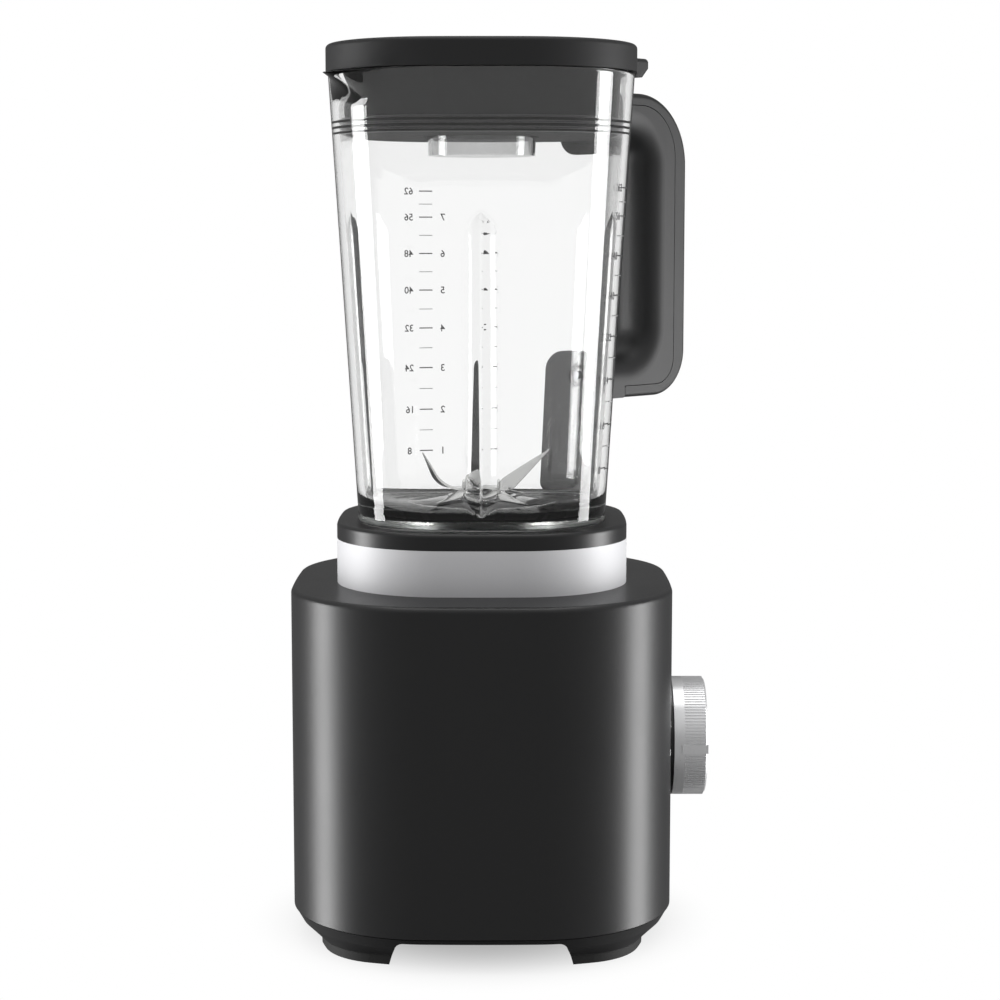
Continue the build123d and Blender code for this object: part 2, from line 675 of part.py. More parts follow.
def cooling_fan():
    plate_low = FAN_TOP - FAN_BLADE_THICKNESS
    fan = cylinder(FAN_HUB, FAN_LOW, FAN_TOP) + cylinder(FAN_RADIUS, plate_low, FAN_TOP)
    side = (-FAN_BLADE_THICKNESS / 2, FAN_BLADE_THICKNESS / 2)
    span = (FAN_HUB - FAN_BLADE_THICKNESS, FAN_RADIUS - FAN_BLADE_THICKNESS)
    vane = block(span, side, (FAN_LOW, plate_low))
    for blade in on_circle(vane, FAN_BLADES):
        fan += blade
    return fan - cylinder(SHAFT_BORE, FAN_LOW, FAN_TOP)


# ---- Coupling between motor and jar -------------------------------------------------------------
def star(growth=0.0):
    """Outline of the toothed drive, grown outwards by a clearance."""
    pitch = 2 * pi / COUPLING_TEETH
    rising = ((TOOTH_ROOT, -ROOT_SHARE), (TOOTH_TIP, -TIP_SHARE))
    corners = rising + ((TOOTH_TIP, TIP_SHARE), (TOOTH_ROOT, ROOT_SHARE))
    points = []
    for tooth in range(COUPLING_TEETH):
        for radius, share in corners:
            angle = (tooth + share) * pitch + copysign(growth / radius, share)
            points.append(((radius + growth) * cos(angle), (radius + growth) * sin(angle)))
    return Polygon(*points, align=None)


def drive_coupling():
    cup = cylinder(COUPLING_RADIUS, COUPLING_Z, COUPLING_TOP)
    cup += cylinder(FAN_HUB, COUPLING_Z - COUPLING_FLOOR, COUPLING_Z)
    cup -= extrude(Pos(0, 0, SOCKET_Z) * star(LIFT_GAP), COUPLING_TOP - SOCKET_Z)
    return cup - cylinder(SHAFT_BORE, COUPLING_Z - COUPLING_FLOOR, SOCKET_Z - COUPLING_FLOOR / 2)


def driven_coupling():
    low = SOCKET_Z + LIFT_GAP
    teeth_top = low + TOOTH_HEIGHT
    teeth = extrude(Pos(0, 0, low) * star(), TOOTH_HEIGHT)
    teeth += cylinder(TOOTH_ROOT, teeth_top, STEM_LOW - LIFT_GAP)
    return teeth - cylinder(SHAFT_BORE, low, STEM_LOW)


# ---- Control knob and its electronics -----------------------------------------------------------
SWITCH_FRONT = INNER_FACE - SWITCH_SETBACK
SWITCH_BACK = SWITCH_FRONT - SWITCH_DEPTH
BOARD_FRONT = SWITCH_BACK
BOARD_BACK = BOARD_FRONT - BOARD_THICKNESS
KNOB_BACK = BEZEL_FACE + BEZEL_THICKNESS + LIFT_GAP
KNOB_FRONT = KNOB_BACK + KNOB_LENGTH
KNOB_INSIDE = KNOB_FRONT - KNOB_WALL
BOARD_SCREW_Y = BOARD_WIDTH / 2 - BOARD_SCREW_INSET
BOARD_SCREW_Z = BOARD_HEIGHT / 2 - BOARD_SCREW_INSET
BOARD_SCREWS = [(sy * BOARD_SCREW_Y, KNOB_HEIGHT + sz * BOARD_SCREW_Z) for sy, sz in CORNERS]


def knob_bezel():
    ring = rod(BEZEL_RADIUS, BEZEL_FACE, BEZEL_FACE + BEZEL_THICKNESS, KNOB_AXIS)
    return ring - rod(BUSH_RADIUS + NEST_GAP, BEZEL_FACE, BEZEL_FACE + BEZEL_THICKNESS, KNOB_AXIS)


def ribbed_disc():
    """Face of the knob's grip: fine square grooves around the rim."""
    pitch = 2 * pi / KNOB_RIBS
    inner = KNOB_RADIUS - RIB_GROOVE
    crest = ((KNOB_RADIUS, 0), (KNOB_RADIUS, RIB_SHARE))
    corners = crest + ((inner, RIB_SHARE + FLANK_SHARE), (inner, 1 - FLANK_SHARE))
    points = []
    for rib in range(KNOB_RIBS):
        for radius, share in corners:
            angle = (rib + share) * pitch
            points.append((radius * cos(angle), radius * sin(angle)))
    return Polygon(*points, align=None)


def knob():
    grip_back = KNOB_BACK + KNOB_BAND
    grip_length = KNOB_FRONT - KNOB_CHAMFER - grip_back
    cap = rod(KNOB_RADIUS, KNOB_BACK, grip_back, KNOB_AXIS)
    cap += Pos(grip_back, *KNOB_AXIS) * Rot(0, 90, 0) * extrude(ribbed_disc(), grip_length)
    face_radius = KNOB_RADIUS - RIB_GROOVE
    face = Cone(face_radius, face_radius - KNOB_CHAMFER, KNOB_CHAMFER, align=UPWARDS)
    cap += Pos(KNOB_FRONT - KNOB_CHAMFER, *KNOB_AXIS) * Rot(0, 90, 0) * face
    pointer_low = KNOB_FRONT - POINTER_LENGTH
    half = POINTER_WIDTH / 2
    pointer = block((pointer_low, KNOB_FRONT), (KNOB_RADIUS / 2, KNOB_RADIUS + POINTER_RISE), (-half, half))
    cap += Pos(0, *KNOB_AXIS) * Rot(POINTER_ANGLE, 0, 0) * pointer
    cap -= rod(KNOB_RADIUS - KNOB_WALL, KNOB_BACK, KNOB_INSIDE, KNOB_AXIS)
    cap += rod(2 * SPINDLE_RADIUS, KNOB_BACK + KNOB_WALL, KNOB_INSIDE, KNOB_AXIS)
    return cap - rod(SPINDLE_RADIUS + SEAT_GAP, KNOB_BACK + KNOB_WALL, KNOB_INSIDE, KNOB_AXIS)


def knob_shaft():
    return rod(SPINDLE_RADIUS, SWITCH_FRONT - SWITCH_SETBACK, KNOB_INSIDE, KNOB_AXIS)


def rotary_switch():
    half = SWITCH_SIDE / 2
    height = (KNOB_HEIGHT - half, KNOB_HEIGHT + half)
    switch = block((SWITCH_BACK, SWITCH_FRONT), (-half, half), height)
    switch += rod(BUSH_RADIUS, SWITCH_FRONT, BEZEL_FACE, KNOB_AXIS)
    return switch - rod(SPINDLE_RADIUS + RUNNING_GAP, SWITCH_FRONT - SWITCH_SETBACK, BEZEL_FACE, KNOB_AXIS)


def control_board():
    half_width, half_height = BOARD_WIDTH / 2, BOARD_HEIGHT / 2
    height = (KNOB_HEIGHT - half_height, KNOB_HEIGHT + half_height)
    board = block((BOARD_BACK, BOARD_FRONT), (-half_width, half_width), height)
    for place in BOARD_SCREWS:
        board -= rod(BOARD_SCREW_RADIUS + NEST_GAP, BOARD_BACK, BOARD_FRONT, place)
    return board


def board_screws():
    screws = []
    for place in BOARD_SCREWS:
        shank = rod(BOARD_SCREW_RADIUS, BOARD_BACK, BOARD_FRONT + SCREW_BITE, place)
        head = rod(2 * BOARD_SCREW_RADIUS, BOARD_BACK - BOARD_THICKNESS, BOARD_BACK, place)
        screws.append(shank + head)
    return screws


# ---- Jar ----------------------------------------------------------------------------------------
FLOOR_Z = SEAT_Z + JAR_FLOOR
HUB_Z = SEAT_Z + FLOOR_RISE
RECESS_TOP = SEAT_Z + HUB_RECESS_DEPTH
STEM_TOP = HUB_Z + FLOOR_GASKET
FLANGE_TOP = STEM_TOP + HUB_FLANGE
STEM_LOW = STEM_TOP - STEM_LENGTH
STEM_HOLE = STEM_RADIUS + MOUNT_GAP
RIM_REACH = JAR.reach(jar_inset(RIM_Z))


def diagonal_rod(radius, start, end, z):
    """Cylinder along the +X +Y diagonal, between two distances from the axis."""
    return to_corner(rod(radius, start, end, (0, z)))


def jar_rib(low):
    """Wedge on the inside of the +X wall: three edges that run up the wall and meet in a point."""
    sink = JAR_WALL / 2
    half = RIB_WIDTH / 2 * (1 + sink / RIB_DEPTH)

    def inner_wall(z):
        return JAR.half - jar_inset(z) - JAR_WALL

    def section(z):
        wall = inner_wall(z)
        corners = [(wall - RIB_DEPTH, 0, z), (wall + sink, half, z), (wall + sink, -half, z)]
        return make_face(Polyline(*corners, close=True))

    top = section(SEAT_Z + RIB_TOP)
    point_z = SEAT_Z + RIB_POINT
    point = Vertex(inner_wall(point_z) + sink, 0, point_z)
    return loft([section(low), top], ruled=True) + loft([top, point], ruled=True)


def spout_wedge():
    """Solid that fills the pouring lip, over the -X -Y corner: a pyramid hung from the rim."""
    half = JAR.half - jar_inset(RIM_Z)
    shoulder = half - SPOUT_WIDTH
    tip = (RIM_REACH + SPOUT_REACH) / sqrt(2)
    low = RIM_Z - SPOUT_DROP
    root = JAR.reach(jar_inset(low)) / sqrt(2)
    rim = [(-shoulder, -half, RIM_Z), (-tip, -tip, RIM_Z), (-half, -shoulder, RIM_Z)]
    wedge = loft([make_face(Polyline(*rim, close=True)), Vertex(-root, -root, low)], ruled=True)
    ridge = wedge.edges().sort_by(lambda edge: edge.center().X + edge.center().Y)[0]
    return fillet(ridge, SPOUT_ROUND)


def spout_dip():
    """What is cut off the top of the lip, so that it falls towards its tip."""
    start = RIM_REACH - JAR_WALL
    end = RIM_REACH + SPOUT_REACH
    cut = Polygon((start, RIM_Z), (end, RIM_Z - SPOUT_DIP), (end, RIM_Z + SPOUT_DIP), align=None)
    return to_corner(extrude(Plane.XZ * cut, RIM_REACH, both=True), HANDLE_TURN + HALF_TURN)


def jar_body():
    glass = jar_block()
    glass = fillet(glass.edges().group_by(Axis.Z)[0], JAR_FOOT_ROUND) + spout_wedge()
    inside = jar_block(JAR_WALL, FLOOR_Z, RIM_Z)
    inside = fillet(inside.edges().group_by(Axis.Z)[0], FLOOR_ROUND)
    inside += Pos(JAR_WALL, JAR_WALL, 0) * spout_wedge()
    seat = HUB_FLANGE_RADIUS + HUB_LEDGE
    inside -= Pos(0, 0, FLOOR_Z) * Cone(JAR.half - DOME_SETBACK, seat, HUB_Z - FLOOR_Z, align=UPWARDS)
    for rib in on_circle(jar_rib(FLOOR_Z), 4):
        inside -= rib
    glass -= inside
    glass -= spout_dip()
    for z in BOSS_HEIGHTS:
        face = boss_face(z)
        glass += diagonal_rod(BOSS_RADIUS, face - BOSS_LENGTH - JAR_WALL / 2, face, z)
        glass -= diagonal_rod(THREAD, face - BOSS_LENGTH, face, z)
    glass -= cylinder(HUB_RECESS_RADIUS, SEAT_Z, RECESS_TOP)
    return glass - cylinder(STEM_HOLE, RECESS_TOP, HUB_Z)


def floor_gasket():
    return tube(HUB_FLANGE_RADIUS, STEM_HOLE, HUB_Z, STEM_TOP)


def bearing_housing():
    hub = cylinder(STEM_RADIUS, STEM_LOW, STEM_TOP) + cylinder(HUB_FLANGE_RADIUS, STEM_TOP, FLANGE_TOP)
    hub -= cylinder(JAR_BEARING_RADIUS + SEAT_GAP, STEM_LOW, STEM_TOP)
    return hub - cylinder(SHAFT_RADIUS + LIFT_GAP, STEM_TOP, FLANGE_TOP)


def blade_bearings():
    lows = (STEM_LOW, STEM_TOP - SEAL_HEIGHT - JAR_BEARING_HEIGHT)
    bore = SHAFT_RADIUS + RUNNING_GAP
    return [tube(JAR_BEARING_RADIUS, bore, low, low + JAR_BEARING_HEIGHT) for low in lows]


def shaft_seal():
    return tube(JAR_BEARING_RADIUS, SHAFT_RADIUS + RUNNING_GAP, STEM_TOP - SEAL_HEIGHT, STEM_TOP)


def retaining_nut():
    low = RECESS_TOP - NUT_HEIGHT
    nut = tube(NUT_RADIUS, STEM_RADIUS + SEAT_GAP, low, RECESS_TOP)
    notch = cylinder(2 * LUG_DEPTH, low, SEAT_Z - LIFT_GAP, (NUT_RADIUS + LUG_DEPTH, 0))
    for cut in on_circle(notch, NUT_LUGS):
        nut -= cut
    return nut


# ---- Blades -------------------------------------------------------------------------------------
WASHER_Z = FLANGE_TOP + LIFT_GAP
BLADES_Z = WASHER_Z + WASHER_HEIGHT


def prong(level, azimuth, bend, bend_round, reach, rise):
    """Half a blade: flat from the hub to the bend, then straight to its tip."""
    path = FilletPolyline((0, level), (bend, level), (reach, level + rise), radius=bend_round)
    side = make_face(offset(path, BLADE_THICKNESS, side=Side.LEFT))
    strip = extrude(Plane.XZ * side, PRONG_WIDTH, both=True)
    lean = atan2(rise, reach - BLADE_HUB)
    length = sqrt((reach - BLADE_HUB) ** 2 + rise**2)
    half, tip = PRONG_WIDTH / 2, PRONG_TIP_WIDTH
    back, front = [(-reach, half), (0, half)], [(0, -half), (-reach, -half)]
    taper = Polygon(*back, (length, -tip), (length, -2 * tip), *front, align=None)
    along, across = (cos(lean), 0, sin(lean)), (-sin(lean), 0, cos(lean))
    chord = Plane((BLADE_HUB, 0, level), x_dir=along, z_dir=across)
    return Rot(0, 0, azimuth) * (strip & extrude(chord * taper, reach, both=True))


def blade(place, *prongs):
    """Flat two-pronged blade, the given number of blades up from the washer."""
    level = BLADES_Z + place * BLADE_THICKNESS
    plate = cylinder(BLADE_HUB, level, level + BLADE_THICKNESS)
    for shape in prongs:
        plate += prong(level, *shape)
    return plate - cylinder(SHAFT_BORE, level, level + BLADE_THICKNESS)


def low_blade(place, azimuth, droop):
    """Blade whose two equal prongs droop towards the jar's floor."""
    shape = (LOW_BEND, LOW_BEND_ROUND, LOW_REACH, -droop)
    return blade(place, (azimuth, *shape), (azimuth + HALF_TURN, *shape))


def bottom_blade():
    return low_blade(0, BOTTOM_AZIMUTH, BOTTOM_DROOP)


def middle_blade():
    return low_blade(1, MIDDLE_AZIMUTH, MIDDLE_DROOP)


def top_blade():
    curved = (CURVED_AZIMUTH, CURVED_BEND, CURVED_BEND_ROUND, CURVED_REACH, CURVED_RISE)
    slanted = (SLANTED_AZIMUTH, SLANTED_BEND, LOW_BEND_ROUND, SLANTED_REACH, SLANTED_RISE)
    return blade(2, curved, slanted)


def blade_washer():
    return tube(BLADE_HUB, SHAFT_BORE, WASHER_Z, BLADES_Z)


BLADE_NUT_Z = BLADES_Z + 3 * BLADE_THICKNESS
BLADE_NUT_TOP = BLADE_NUT_Z + BLADE_NUT_HEIGHT


def blade_nut():
    outline = RegularPolygon(NUT_FLATS / 2, 6, major_radius=False)
    nut = extrude(Pos(0, 0, BLADE_NUT_Z) * outline, BLADE_NUT_HEIGHT)
    return nut - cylinder(SHAFT_BORE, BLADE_NUT_Z, BLADE_NUT_TOP)


def blade_shaft():
    return cylinder(SHAFT_RADIUS, SOCKET_Z + LIFT_GAP, BLADE_NUT_TOP)


# ---- Handle: drawn over +X, then turned over the +X +Y corner -----------------------------------
HANDLE_TOP = RIM_Z - HANDLE_TOP_DROP
HANDLE_LOW = HANDLE_TOP - HANDLE_HEIGHT
HANDLE_OUT = RIM_REACH + HANDLE_PROJECTION
BOSS_HEIGHTS = (HANDLE_LOW + BOSS_INSET, HANDLE_TOP - BOSS_INSET)
COVER_START = JAR.reach() + COVER_END


def arched(inner, outer, low, high, rounds):
    """Face in the handle's plane: a rectangle with its two outer corners rounded."""
    path = FilletPolyline((inner, low), (outer, low), (outer, high), (inner, high), radius=list(rounds))
    return Plane.XZ * make_face([path, Line(path @ 1, path @ 0)])


def handle_slab(outline, width=GRIP_WIDTH):
    return extrude(outline, width / 2, both=True)


def grip_shell(side, arms):
    """The handle's side view, moved inwards by one size at the grip and another at the arms."""
    rounds = (HANDLE_FOOT_ROUND - side, HANDLE_TOP_ROUND - side)
    return arched(0, HANDLE_OUT - side, HANDLE_LOW + arms, HANDLE_TOP - arms, rounds)


def jar_wrap(wall, half_width, low, high):
    """Plate that lies on the jar's corner, with its free corners rounded."""
    plate = jar_block(-MOUNT_GAP - wall, SEAT_Z, RIM_Z) - jar_block(-MOUNT_GAP, SEAT_Z, RIM_Z)
    outline = RectangleRounded(2 * half_width, high - low, MOUNT_ROUND)
    window = extrude(Plane.YZ * Pos(0, (low + high) / 2) * outline, HANDLE_OUT)
    return plate & to_corner(window)


def handle_frame():
    core = handle_slab(grip_shell(GRIP_COVER + COVER_SEAM, ARM_COVER + COVER_SEAM))
    core += handle_slab(arched(0, COVER_START, HANDLE_LOW, HANDLE_TOP, (COVER_ROUND, COVER_ROUND)))
    grip_back = HANDLE_OUT - GRIP_DEPTH
    window_low, window_high = HANDLE_LOW + ARM_HEIGHT, HANDLE_TOP - ARM_HEIGHT
    core -= handle_slab(arched(0, grip_back, window_low, window_high, (WINDOW_ROUND, WINDOW_ROUND)))
    rim = core.edges().filter_by(lambda edge: SEAT_GAP < edge.center().X < grip_back + SEAT_GAP)
    rim = rim.filter_by_position(Axis.Z, window_low - SEAT_GAP, window_high + SEAT_GAP)
    rim = rim.filter_by(lambda edge: abs(edge.center().Y) > GRIP_WIDTH / 2 - SEAT_GAP)
    core = to_corner(fillet(rim, GRIP_ROUND))
    lower = (SEAT_Z + LOWER_MOUNT_BOTTOM, HANDLE_LOW + LOWER_MOUNT_RISE)
    upper = (HANDLE_TOP - UPPER_MOUNT_HEIGHT, HANDLE_TOP)
    core += jar_wrap(LOWER_MOUNT_WALL, LOWER_MOUNT_WIDTH / 2, *lower)
    core += jar_wrap(UPPER_MOUNT_WALL, UPPER_MOUNT_WIDTH / 2, *upper)
    core -= jar_block(-MOUNT_GAP)
    for z in BOSS_HEIGHTS:
        face = boss_face(z)
        core -= diagonal_rod(BOSS_RADIUS + MOUNT_GAP, 0, face + MOUNT_GAP, z)
        core -= diagonal_rod(SCREW_RADIUS + NEST_GAP, 0, HANDLE_OUT, z)
        core -= diagonal_rod(SCREW_HEAD_RADIUS + NEST_GAP, face + HANDLE_SCREW_BACK, HANDLE_OUT, z)
    return core


def handle_cover():
    strip = handle_slab(grip_shell(0, 0))
    edges = strip.edges().filter_by(lambda edge: abs(edge.center().Y) > GRIP_WIDTH / 2 - SEAT_GAP)
    strip = fillet(edges.filter_by(lambda edge: edge.center().X > SEAT_GAP), HANDLE_EDGE_ROUND)
    strip -= handle_slab(grip_shell(GRIP_COVER, ARM_COVER), 2 * GRIP_WIDTH)
    kept = COVER_START + COVER_SEAM
    return to_corner(strip & block((kept, HANDLE_OUT), (-GRIP_WIDTH, GRIP_WIDTH), (HANDLE_LOW, HANDLE_TOP)))


def handle_screws():
    screws = []
    for z in BOSS_HEIGHTS:
        face = boss_face(z)
        head = face + HANDLE_SCREW_BACK
        shank = diagonal_rod(SCREW_RADIUS, face - BOSS_LENGTH + LIFT_GAP, head, z)
        screws.append(shank + diagonal_rod(SCREW_HEAD_RADIUS, head, head + SCREW_HEAD_HEIGHT, z))
    return screws


# ---- Lid and centre cap -------------------------------------------------------------------------
LID_LOW = RIM_Z + LID_SEAM
SEAT_RING = TOP_Z - CAP_FLANGE
CAP_TOP_RADIUS = CAP_RADIUS + CAP_DRAFT
SLEEVE = CAP_TOP_RADIUS + LIFT_GAP
RECESS_RADIUS = CAP_FLANGE_RADIUS + LIFT_GAP
PLUG_LOW = RIM_Z - PLUG_DEPTH
PLUG_INSET = JAR_WALL + PLUG_GAP


def lid_tab():
    """Thumb tab that stands out from the lid over the handle."""
    end = JAR.reach(LID_INSET) + TAB_REACH
    low = TOP_Z - TAB_THICKNESS
    nose = [(end - TAB_CHAMFER, low), (end, low + TAB_CHAMFER)]
    side = Polygon((0, low), *nose, (end, TOP_Z), (0, TOP_Z), align=None)
    tab = handle_slab(Plane.XZ * side, TAB_WIDTH)
    corners = tab.edges().filter_by(lambda edge: edge.center().X > end - TAB_CHAMFER - SEAT_GAP)
    ends = corners.filter_by(lambda edge: abs(edge.center().Y) > TAB_WIDTH / 2 - SEAT_GAP)
    return to_corner(fillet(ends.filter_by(lambda edge: edge.center().Z < TOP_Z - SEAT_GAP), TAB_ROUND))


def lid_cover():
    """Outer shell of the lid: its top plate has a stepped opening for the cap."""
    cover = JAR.prism(LID_LOW, TOP_Z, LID_INSET) + lid_tab()
    cover = fillet(cover.edges().group_by(Axis.Z)[-1], LID_ROUND)
    cover -= JAR.prism(LID_LOW, TOP_Z - LID_TOP, LID_INSET + LID_WALL)
    cover += cylinder(RECESS_RADIUS + LID_WALL, SEAT_RING - LID_WALL, TOP_Z)
    cover -= cylinder(RECESS_RADIUS, SEAT_RING, TOP_Z)
    return cover - cylinder(SLEEVE, SEAT_RING - LID_WALL, SEAT_RING)


def lid_plug():
    """Cup below the lid: its flange lies on the jar's rim and its sleeve holds the cap."""
    flange_top = RIM_Z + PLUG_FLANGE
    low_inset = jar_inset(PLUG_LOW) + PLUG_INSET
    high_inset = jar_inset(RIM_Z) + PLUG_INSET
    plug = loft([JAR.face(PLUG_LOW, low_inset), JAR.face(RIM_Z, high_inset)], ruled=True)
    floor_top = PLUG_LOW + PLUG_WALL
    floor_inset = jar_inset(floor_top) + PLUG_INSET + PLUG_WALL
    hollow = [JAR.face(floor_top, floor_inset), JAR.face(RIM_Z, high_inset + PLUG_WALL)]
    plug += JAR.prism(RIM_Z, flange_top, LID_INSET + LID_WALL + NEST_GAP)
    plug -= loft(hollow, ruled=True) + JAR.prism(RIM_Z, flange_top, high_inset + PLUG_WALL)
    plug += cylinder(SLEEVE + PLUG_WALL, PLUG_LOW, SEAT_RING - LID_WALL)
    return plug - cylinder(SLEEVE, PLUG_LOW, SEAT_RING - LID_WALL)


def gasket_ring(low, high, clearance):
    """Band around the lid's plug, between two heights, that stops short of the jar's wall."""
    bands = []
    for inset in (JAR_WALL + clearance, PLUG_INSET - NEST_GAP):
        bands.append(loft([JAR.face(z, jar_inset(z) + inset) for z in (low, high)], ruled=True))
    return bands[0] - bands[1]


def lid_gasket():
    top = RIM_Z - RIDGE_TOP + RIDGE_HEIGHT
    gasket = gasket_ring(top - GASKET_HEIGHT, top, LIFT_GAP + RIDGE_DEPTH)
    for ridge in range(GASKET_RIDGES):
        high = RIM_Z - RIDGE_TOP - ridge * RIDGE_PITCH
        gasket += gasket_ring(high - RIDGE_HEIGHT, high, LIFT_GAP)
    return gasket


def cap():
    """Clear measuring cap: a tapered cup, open below, with two finger pockets in its top."""
    low = RIM_Z - CAP_DEPTH
    depth = SEAT_RING - low
    body = Pos(0, 0, low) * Cone(CAP_RADIUS, CAP_TOP_RADIUS, depth, align=UPWARDS)
    body += cylinder(CAP_FLANGE_RADIUS, SEAT_RING, TOP_Z)
    inside = TOP_Z - CAP_POCKET - CAP_WALL - low
    inner = CAP_RADIUS - CAP_WALL
    body -= Pos(0, 0, low) * Cone(inner, inner + CAP_DRAFT * inside / depth, inside, align=UPWARDS)
    pocket = cylinder(CAP_POCKET_RADIUS, TOP_Z - CAP_POCKET, TOP_Z)
    bar = block((-CAP_RADIUS, CAP_RADIUS), (-CAP_BAR / 2, CAP_BAR / 2), (TOP_Z - CAP_POCKET, TOP_Z))
    return body - (pocket - Rot(0, 0, CAP_TURN) * bar)


# ---- Every sub-part, one file each --------------------------------------------------------------
PARTS = [
    *(housing, collar, deck, seat_pad, bottom_cover, feet, cover_screws, cord_gland),
    *(stator, field_coils, upper_bracket, lower_bracket, motor_bearings, motor_grommets, motor_screws),
    *(brush_holders, brushes, fan_shroud, motor_shaft, armature_core, armature_windings, commutator),
    *(cooling_fan, drive_coupling, driven_coupling, knob_bezel, knob, knob_shaft, rotary_switch),
    *(control_board, board_screws, jar_body, floor_gasket, bearing_housing, blade_bearings, shaft_seal),
    *(retaining_nut, bottom_blade, middle_blade, top_blade, blade_washer, blade_nut, blade_shaft),
    *(handle_frame, handle_cover, handle_screws, lid_cover, lid_plug, lid_gasket, cap),
]


def main():
    os.makedirs("parts", exist_ok=True)
    for make in PARTS:
        shape = make()
        if isinstance(shape, list):
            shape = Compound(shape)
        export_step(shape, os.path.join("parts", make.__name__ + ".step"))


if __name__ == "__main__":
    main()
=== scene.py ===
"""Countertop blender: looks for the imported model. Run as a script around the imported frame."""

import json
import math

import bmesh
import bpy
import numpy as np
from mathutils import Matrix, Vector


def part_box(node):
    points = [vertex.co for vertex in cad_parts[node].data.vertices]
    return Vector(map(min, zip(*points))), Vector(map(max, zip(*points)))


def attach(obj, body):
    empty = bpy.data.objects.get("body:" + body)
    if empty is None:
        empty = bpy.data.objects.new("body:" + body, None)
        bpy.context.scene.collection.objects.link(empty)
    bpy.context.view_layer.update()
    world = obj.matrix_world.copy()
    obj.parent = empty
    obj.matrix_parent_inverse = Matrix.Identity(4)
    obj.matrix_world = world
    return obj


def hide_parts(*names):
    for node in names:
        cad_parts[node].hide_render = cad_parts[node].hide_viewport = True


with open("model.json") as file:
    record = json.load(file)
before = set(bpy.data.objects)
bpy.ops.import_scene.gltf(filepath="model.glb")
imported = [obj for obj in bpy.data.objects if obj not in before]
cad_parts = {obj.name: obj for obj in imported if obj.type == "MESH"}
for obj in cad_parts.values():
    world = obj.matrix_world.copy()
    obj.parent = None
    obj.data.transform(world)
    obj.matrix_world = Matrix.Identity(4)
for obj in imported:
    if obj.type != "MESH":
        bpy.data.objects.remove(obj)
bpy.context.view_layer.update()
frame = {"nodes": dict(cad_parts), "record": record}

bl_info = {
    "name": "Countertop blender",
    "version": (1, 0, 0),
    "blender": (4, 5, 0),
    "location": "View3D > Sidebar > Blender jar",
    "description": "Builds the glass jar, its scale, the dial and every finish of a countertop blender",
    "category": "Object",
}

MM = 0.001
NODES = frame["nodes"]


# ---- Sizes and colours a user may change
def length(name, description, default):
    """A size in millimetres, kept in metres."""
    return bpy.props.FloatProperty(name=name, description=description, default=default * MM, unit="LENGTH")


def linear(code):
    """A hex sRGB colour as linear red, green and blue, by the curve of the sRGB standard."""
    parts = [int(code[i : i + 2], 16) / 255 for i in (1, 3, 5)]
    return [c / 12.92 if c <= 0.04045 else ((c + 0.055) / 1.055) ** 2.4 for c in parts]


def colour(name, description, code):
    """A colour, its default given as a hex value."""
    return bpy.props.FloatVectorProperty(
        name=name, description=description, default=linear(code), subtype="COLOR", min=0.0, max=1.0
    )


class JarSizes(bpy.types.PropertyGroup):
    """The jar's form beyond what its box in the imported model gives."""

    corner: length("Corner radius", "Radius of the jar's corners at its foot", 38.6)
    bow: length("Bow", "How far each side stands out in its middle", 3.3)
    flare: length("Flare", "How far the wall leans out from foot to rim", 12.5)
    wall: length("Wall", "Thickness of the jar's wall", 3.2)
    floor: length("Floor", "Height of the jar's inner floor above its foot", 3.0)
    floor_round: length("Floor rounding", "Radius between wall and floor inside", 11.0)
    dome: length("Dome radius", "Radius at which the floor starts to rise to the hub", 38.0)
    hub: length("Hub radius", "Radius of the level floor round the hub", 19.0)
    hub_rise: length("Hub rise", "Height of the floor at the hub above the jar's foot", 7.4)
    stem: length("Stem hole", "Radius of the hole for the blade hub", 12.95)
    recess: length("Recess radius", "Radius of the recess for the retaining nut", 34.0)
    recess_depth: length("Recess depth", "Depth of the recess for the retaining nut", 2.6)
    rib_width: length("Rib width", "Width of each inner rib at the wall", 15.4)
    rib_depth: length("Rib depth", "How far each inner rib stands in from the wall", 4.15)
    rib_top: length("Rib top", "Height above the foot at which a rib starts to taper", 129.2)
    rib_point: length("Rib point", "Height above the foot at which a rib ends", 141.4)
    spout_drop: length("Lip drop", "Height of the pouring lip", 16.0)
    spout_reach: length("Lip reach", "How far the pouring lip stands out from its corner", 18.0)
    spout_width: length("Lip width", "Half the lip's width across its corner", 26.0)
    spout_dip: length("Lip dip", "How far the lip falls towards its tip", 2.4)
    boss_radius: length("Boss radius", "Radius of the two screw bosses under the handle", 5.0)
    boss_length: length("Boss length", "How far the screw bosses stand out", 6.5)


class BladeSizes(bpy.types.PropertyGroup):
    """The stamped blades and the lid's seal."""

    hub: length("Hub radius", "Radius of the disc in the middle of each blade", 8.0)
    half: length("Half width", "Half the width of a blade before it tapers", 6.8)
    thickness: length("Thickness", "Thickness of the blade stock", 1.2)
    edge: length("Edge", "Thickness left at the ground cutting edge", 0.25)
    bevel: length("Bevel", "Width of the ground bevel", 2.4)
    tip: length("Tip", "Width left at the tips", 0.5)
    lips: bpy.props.IntProperty(
        name="Seal lips", description="Lips round the lid's seal", default=3, min=1, subtype="UNSIGNED"
    )
    lip_pitch: length("Lip pitch", "Distance between the seal's lips", 2.5)
    lip: length("Lip", "Thickness of each lip", 1.0)


